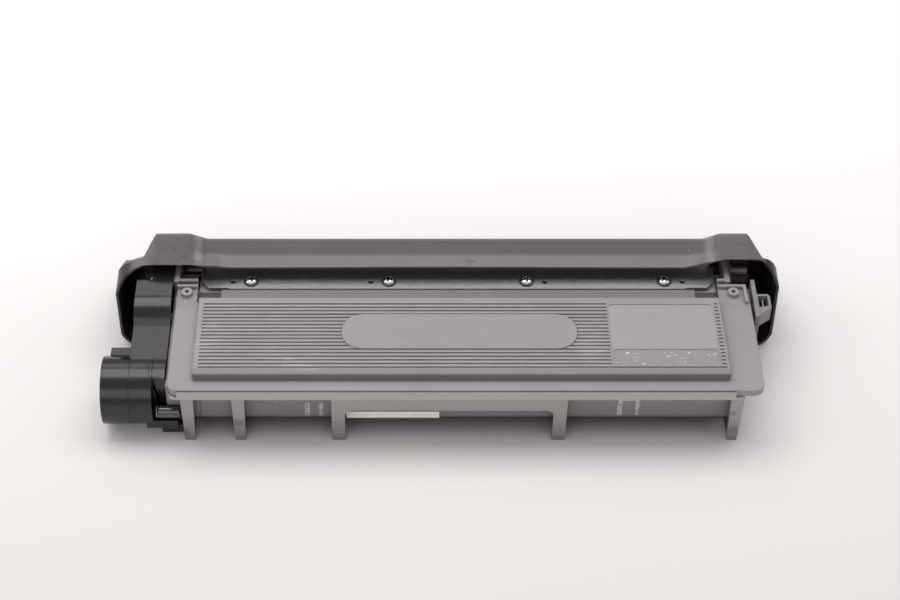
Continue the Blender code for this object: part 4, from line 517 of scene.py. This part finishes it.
def arrow_mask(tree):
    """A small plain arrow that points back: a triangle whose sides slope evenly to its tip, on a shaft."""
    place = in_mm(tree)
    y = axis_of(tree, place, "Y")
    from_middle = calculate(tree, "SUBTRACT", axis_of(tree, place, "X"), ARROW_X)
    aside = calculate(tree, "ABSOLUTE", from_middle, 0.0)
    slant = calculate(tree, "ADD", product(tree, aside, ARROW_SLOPE), y)
    head = product(tree, band(tree, slant, ARROW_TIP + 0.1, ARROW_TIP - 0.1),
                   band(tree, y, ARROW_NECK - 0.1, ARROW_NECK + 0.1))
    shaft = product(tree, band(tree, aside, ARROW_HALF_SHAFT + 0.1, ARROW_HALF_SHAFT - 0.1),
                    band(tree, y, ARROW_TAIL, ARROW_TAIL + 0.1), band(tree, y, 22, 21.9))
    top = patch(tree, ((5, 19), None, (40, 50)), 0, 0.2)
    return product(tree, calculate(tree, "MAXIMUM", head, shaft), top)


def cover_marks(tree, looks):
    """Painted shade on the end cheeks in brown-black and black, painted highlights on the ears' inner flanks,
    a plain arrow, and smudges on the two ears.
    """
    # painted shade on the end cheeks
    looks = laid_patches(tree, looks, CHEEK_SHADE)
    looks = laid(tree, looks, arrow_mask(tree), 0.5, (0.03, 0.028, 0.028))
    # painted highlight on the ears' inner flanks
    for x in HIGHLIT_FLANKS:
        highlit_flank = patch(tree, (x, (20, 36), (44, 54)), 0.3, 1.2)
        looks = laid(tree, looks, highlit_flank, 0.2, (0.5, 0.47, 0.47))
    blots = band(tree, noise(tree, object_place(tree), 210, 4, 0.65), 0.58, 0.68)
    for x in EARS:
        ear = patch(tree, (x, (16, 40), (38, 54)), 3.0, 3.0)
        looks = laid(tree, looks, product(tree, blots, ear), 0.55, (0.05, 0.045, 0.045))
    return looks


DARK_LOOK = finish("cover_plastic", (0.12, 0.107, 0.107), 0.4, grain=(2200.0, 0.03), rubbed=0.6, grime_and_shade=0.2,
                   scratches=0.4, dust=0.5, marks=cover_marks)


def grid_mesh(name, points, closed_across=False):
    """A mesh of quads over an array of points (rows, columns, 3), each row a closed ring if closed_across."""
    rows, columns = points.shape[:2]
    index = np.arange(rows * columns).reshape(rows, columns)
    if closed_across:
        index = np.concatenate([index, index[:, :1]], axis=1)
    faces = np.stack([index[:-1, :-1], index[1:, :-1], index[1:, 1:], index[:-1, 1:]], axis=-1).reshape(-1, 4)
    mesh = bpy.data.meshes.new(name)
    mesh.from_pydata(points.reshape(-1, 3).tolist(), [], faces.tolist())
    return mesh


ROLLER_Y, ROLLER_Z = 37.426, 21.987  # the developer roller's axis, which the cover follows
BACK = 16.6  # the cover's upright back wall, behind that axis

# Sections of the cover as (Y, Z) from the roller's axis: rim, crease, ridge, slope, back wall, foot and lip.
FOOT = (BACK, -18.0), (12.6, -22.0), (-29.4, -22.0)
COVER_MIDDLE = (-18.4, 20.0), (-12.0, 21.7), (-6.5, 26.8), (13.0, 7.4), (BACK, 1.9), *FOOT
EAR_FOOT = (-18.4, 20.9), (-16.65, 21.4), (-14.9, 21.9), (8.0, -1.0), (BACK, -6.5), *FOOT
EAR_FULL = (-17.7, 24.0), (-12.55, 27.5), (-7.4, 31.0), (13.5, 9.4), (BACK, 3.9), *FOOT


def cheek(inset, drop):
    """The ear's foot drawn in by the inset at the back and below, its upper points lowered by the drop."""
    points = np.array(EAR_FOOT)
    points[points[:, 1] > 0, 1] -= drop
    points[:, 0] = np.minimum(points[:, 0], BACK - inset)
    points[:, 1] = np.maximum(points[:, 1], inset - ROLLER_Z)
    points[0, 0] -= 1.4 * drop
    return points


def with_rim(section, y, z):
    points = np.array(section)
    points[0] = y, z
    return points


def with_ear_rim(section, y, z):
    """The same, with the crease moved halfway between the rim and the ridge."""
    points = with_rim(section, y, z)
    points[1] = (points[0] + points[2]) / 2
    return points


LEFT_EAR = with_ear_rim(EAR_FULL, -19.5, 22.2)
RIGHT_EAR = np.array(EAR_FULL)
LEFT_NECK = with_rim(COVER_MIDDLE, -19.5, 21.6)
LOW_RIM = with_rim(COVER_MIDDLE, -18.4, 19.4)

COVER_STATIONS = (  # X, and the section there
    (-153.95, cheek(8, 8)), (-152.75, cheek(4.5, 5.6)), (-150.35, cheek(1.8, 3.4)), (-146.45, cheek(0, 1.2)),
    (-141.85, np.array(EAR_FOOT)), (-135.55, LEFT_EAR), (-119.55, LEFT_EAR), (-111.75, LEFT_NECK),
    (-108.0, LEFT_NECK), (-101.7, LOW_RIM), (1.25, np.array(COVER_MIDDLE)), (112.0, LOW_RIM),
    (122.55, with_rim(COVER_MIDDLE, -18.0, 22.1)), (128.95, with_ear_rim(EAR_FULL, -17.8, 23.4)),
    (131.8, RIGHT_EAR), (142.15, RIGHT_EAR), (149.45, with_ear_rim(EAR_FOOT, -15.8, 22.0)),
    (151.45, cheek(0, 0)), (153.45, cheek(1.8, 1.4)), (155.25, cheek(4.5, 3.4)), (156.45, cheek(8, 6)),
)
PLAIN_LEFT, PLAIN_RIGHT = -104, 112  # between them the cover hardly changes, so a few rows do
FINE_STEP, PLAIN_STEP = 0.8, 6.0


def cover_surface(softness, corner, rounds):
    """The cover's outer skin as a grid. Along X the corner points run straight from station to station,
    averaged with a bell curve of this softness. Across, each corner is a quadratic Bezier curve of this
    reach. Each end is closed by a flat cheek that runs from the end section to the straight line between its
    rim and its lip."""
    at = np.array([x for x, section in COVER_STATIONS])
    sections = np.stack([section for x, section in COVER_STATIONS])
    fine = np.unique(np.round(np.concatenate([
        np.arange(at[0], PLAIN_LEFT, FINE_STEP), np.arange(PLAIN_LEFT, PLAIN_RIGHT, PLAIN_STEP),
        np.arange(PLAIN_RIGHT, at[-1], FINE_STEP), [at[-1]],
    ]), 3))
    offsets = np.linspace(-2, 2, 9) * softness
    weights = np.exp(-0.5 * (offsets / softness) ** 2)
    room = np.minimum(1, np.minimum(fine - at[0], at[-1] - fine) / (2 * softness))
    spread = fine[:, None] + offsets[None, :] * room[:, None]
    flat = sections.reshape(len(at), -1)
    columns = [np.interp(spread, at, column) @ weights / weights.sum() for column in flat.T]
    points = np.stack(columns, axis=-1).reshape(len(fine), -1, 2)
    inner, before, after = points[:, 1:-1], points[:, :-2], points[:, 2:]
    back_run, front_run = before - inner, after - inner
    back_length = np.linalg.norm(back_run, axis=-1, keepdims=True) + 1e-6
    front_length = np.linalg.norm(front_run, axis=-1, keepdims=True) + 1e-6
    start = inner + back_run * np.minimum(corner / back_length, 0.45)
    end = inner + front_run * np.minimum(corner / front_length, 0.45)
    s = np.linspace(0, 1, rounds)[None, None, :, None]
    start, inner, end = start[:, :, None], inner[:, :, None], end[:, :, None]
    curves = (1 - s) ** 2 * start + 2 * s * (1 - s) * inner + s**2 * end
    profile = np.concatenate([points[:, :1], curves.reshape(len(fine), -1, 2), points[:, -1:]], axis=1)
    skin = np.empty((*profile.shape[:2], 3))
    skin[..., 0] = fine[:, None]
    skin[..., 1:] = profile
    share = np.linspace(0, 1, profile.shape[1])[:, None]
    ends = []
    for row in (skin[0], skin[-1]):
        chord = row[:1] * (1 - share) + row[-1:] * share
        steps = np.linspace(1, 0, 6)[:-1, None, None]
        ends.append(row * (1 - steps) + chord * steps)
    skin = np.concatenate([ends[0], skin, ends[1][::-1]])
    skin *= MM
    skin[..., 1:] += np.array([ROLLER_Y, ROLLER_Z]) * MM
    return skin


def smooth_by_angle(mesh, degrees):
    mesh.shade_smooth()
    mesh.set_sharp_from_angle(angle=math.radians(degrees))


def joined_up(mesh):
    """Merges the points that coincide and turns every face outward."""
    form = bmesh.new()
    form.from_mesh(mesh)
    bmesh.ops.remove_doubles(form, verts=form.verts, dist=0.01 * MM)
    bmesh.ops.recalc_face_normals(form, faces=form.faces)
    form.to_mesh(mesh)
    form.free()


cover_mesh = grid_mesh("storage_cover", cover_surface(softness=0.6, corner=1.2, rounds=5))
joined_up(cover_mesh)
smooth_by_angle(cover_mesh, 50)
cover_mesh.materials.append(DARK_LOOK)
storage_cover = bpy.data.objects.new("storage_cover", cover_mesh)
cover_wall = storage_cover.modifiers.new("wall", "SOLIDIFY")
cover_wall.thickness = 1.2 * MM
cover_wall.offset = -1
cover_wall.use_even_offset = True
cover_rim = storage_cover.modifiers.new("rim", "BEVEL")
cover_rim.width = 0.3 * MM
cover_rim.segments = 2
cover_rim.limit_method = "ANGLE"
cover_rim.angle_limit = math.radians(78)
cover_rim.harden_normals = True
cover_rim.use_clamp_overlap = True
shown(storage_cover, "dark_plastic", "protective_cover")


# Blade screws
# Four steel pan heads with a cross recess, nickel plated. The driver left each of them at its own angle, and
# the steep walls of the recesses are laid near black.

HEAD, HEAD_HEIGHT, SHANK = 2.8, 1.9, 1.4  # radius of the head, its height, radius of the shank
RECESS_ARM, RECESS_HALF, RECESS_DEPTH = 1.75, 0.42, 1.25
DRIVER_TURNS = 0.35, 1.1, 0.15, 0.75
AROUND = 96  # points in a ring


def pan_head_surface(depth, turn):
    """Rings about Z in mm: a dome whose height is that of a flattened ellipse, sunk by a cross whose two arms
    fade out at their sides and ends, then the rim, the underside, and a plain shank of that depth."""
    radius = np.concatenate([np.linspace(0, 2.2, 24), np.linspace(2.3, HEAD, 8)])[:, None]
    angle = np.linspace(0, 2 * np.pi, AROUND, endpoint=False)[None, :]
    along, across = np.abs(radius * np.cos(angle - turn)), np.abs(radius * np.sin(angle - turn))
    sunk = np.zeros_like(along)
    for length, width in ((along, across), (across, along)):
        wall = np.clip((RECESS_HALF + 0.1 - width) / 0.16, 0, 1)
        floor = np.clip((RECESS_ARM - length) / 1.1, 0, 1)
        sunk = np.maximum(sunk, wall * floor)
    dome = HEAD_HEIGHT * (0.35 + 0.65 * np.sqrt(np.clip(1 - (radius / HEAD) ** 2, 0, 1)))
    top = np.stack([radius * np.cos(angle), radius * np.sin(angle), dome - RECESS_DEPTH * sunk], axis=-1)
    below = ((HEAD, 0.0), (SHANK, 0.0), (SHANK, -depth), (0.0, -depth))
    circle = np.stack([np.cos(angle[0]), np.sin(angle[0]), np.zeros(AROUND)], axis=-1)
    rings = [circle * r + (0, 0, z) for r, z in below]
    return np.concatenate([top, rings])


for index, turn in enumerate(DRIVER_TURNS):
    node = f"blade_screw_{index + 1}"
    low, high = (np.array(corner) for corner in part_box(node))
    seat = high[2] / MM - HEAD_HEIGHT
    surface = pan_head_surface(seat - low[2] / MM, turn)
    surface += ((low[0] + high[0]) / 2 / MM, (low[1] + high[1]) / 2 / MM, seat)
    head_mesh = grid_mesh(node + "_head", surface * MM, closed_across=True)
    joined_up(head_mesh)
    smooth_by_angle(head_mesh, 40)
    head_mesh.materials.append(BRIGHT_LOOK)
    shown(bpy.data.objects.new(node + "_head", head_mesh), "bright_steel", node)


# Hidden drive and rollers
# Natural acetal gears, black bushes, ground steel shafts, a conductive rubber sleeve and grey foam, all shut
# in by the casings. The label is white paper, stuck to the front wall.

RESIN_LOOK = finish("acetal", (0.7, 0.69, 0.64), 0.4, grain=(1500.0, 0.02), rubbed=0.1, grime_and_shade=0.4,
                    scratches=0.2)
carry(RESIN_LOOK, "drive_coupling", "agitator_gear", "idler_gear_1", "idler_gear_2", "supply_gear",
      "developer_gear", "agitator_shaft")
carry(BLACK_LOOK, "developer_bearing_left", "developer_bearing_right", "supply_bearing_left",
      "supply_bearing_right")
RUBBER_LOOK = finish("roller_rubber", (0.03, 0.03, 0.032), 0.55, grain=(3000.0, 0.02), rubbed=0.0, grime_and_shade=0.1,
                     scratches=0.3, dust=0.2)
carry(RUBBER_LOOK, "developer_sleeve")
FOAM_LOOK = finish("foam", (0.14, 0.14, 0.15), 0.9, grain=(1100.0, 0.4), drift=0.5, rubbed=0.0, grime_and_shade=0.4,
                   scratches=0.0)
carry(FOAM_LOOK, "supply_foam", "end_seal_left", "end_seal_right")
FILM_LOOK = finish("polyester_film", (0.5, 0.5, 0.47), 0.25, grain=(400.0, 0.01), rubbed=0.0, grime_and_shade=0.3)
carry(FILM_LOOK, "agitator_film", "lower_seal_film")
PAPER_LOOK = finish("label_paper", (0.8, 0.79, 0.75), 0.6, grain=(1600.0, 0.05), rubbed=0.2, grime_and_shade=0.5)
carry(PAPER_LOOK, "serial_label")


# Table, lamps and camera
# A white paper sheet under a large overhead soft box, with a weaker one at each side and in front, and a
# small card behind.


def table_top(edge):
    """A wide flat sheet at the cartridge's feet, its white laid a little darker towards the viewer as painted
    light falloff, with a painted shadow under the cartridge.
    """
    corners = (-edge, -edge, 0), (edge, -edge, 0), (edge, edge, 0), (-edge, edge, 0)
    mesh = bpy.data.meshes.new("table")
    mesh.from_pydata(corners, [], [(0, 1, 2, 3)])
    made = bpy.data.objects.new("table", mesh)
    bpy.context.scene.collection.objects.link(made)
    look = bpy.data.materials.new("table_white")
    look.use_nodes = True
    tree = look.node_tree
    shader = tree.nodes["Principled BSDF"]
    # painted light falloff: the white laid darker towards the viewer
    painted_falloff = band(tree, axis_of(tree, object_place(tree), "Y"), 0.25, -0.25)
    white = mixed(tree, painted_falloff, (0.82, 0.805, 0.8, 1), (0.66, 0.632, 0.625, 1))
    # painted shadow on the table under the cartridge
    under = patch(tree, ((-116, 126), (-46, 40), None), 0.0, 7.0)
    white = laid(tree, white, under, 0.75, (0.1, 0.08, 0.07))
    tree.links.new(white, shader.inputs["Base Color"])
    shader.inputs["Roughness"].default_value = 0.9
    shader.inputs["Specular IOR Level"].default_value = 0.0
    mesh.materials.append(look)


table_top(edge=4.0)


def soft_box(name, place, aim, size, watts):
    data = bpy.data.lights.new(name, "AREA")
    data.shape = "RECTANGLE"
    data.size, data.size_y = size
    data.energy = watts
    made = bpy.data.objects.new(name, data)
    bpy.context.scene.collection.objects.link(made)
    made.location = place
    direction = np.array(aim) - np.array(place)
    made.rotation_euler = (
        math.atan2(math.hypot(direction[0], direction[1]), -direction[2]),
        0,
        math.atan2(direction[1], direction[0]) - math.pi / 2,
    )


for box in (
    ("overhead_box", (0, 0.3, 1.15), (0, 0, 0), (1.5, 0.7), 11.0),
    ("left_box", (-1.0, 0.1, 0.8), (0, 0, 0.02), (0.7, 0.7), 3.0),
    ("right_box", (1.0, 0.1, 0.8), (0, 0, 0.02), (0.7, 0.7), 1.0),
    ("front_box", (-0.2, -1.2, 0.8), (0, 0, 0.02), (1.8, 0.7), 5.0),
    ("back_card", (-0.28, 0.95, 0.9), (-0.13, 0, 0.03), (0.5, 0.35), 1.0),
):
    soft_box(*box)

world = bpy.data.worlds.new("studio")
bpy.context.scene.world = world
world.use_nodes = True
backdrop = world.node_tree.nodes["Background"].inputs
backdrop["Color"].default_value = (1, 0.99, 0.985, 1)
backdrop["Strength"].default_value = 0.42

CAMERA_PLACE, CAMERA_TILT = (-0.021, -0.6628, 0.7016), math.radians(45)  # metres; tilt up from straight down
LENS, SHIFT = 80.9, 0.0556

camera_data = bpy.data.cameras.new("camera")
camera_data.sensor_width = 36
camera_data.lens = LENS
camera_data.shift_x = SHIFT
camera = bpy.data.objects.new("camera", camera_data)
bpy.context.scene.collection.objects.link(camera)
camera.location = CAMERA_PLACE
camera.rotation_euler = (CAMERA_TILT, 0, 0)
bpy.context.scene.camera = camera
bpy.context.scene.view_settings.view_transform = "Standard"
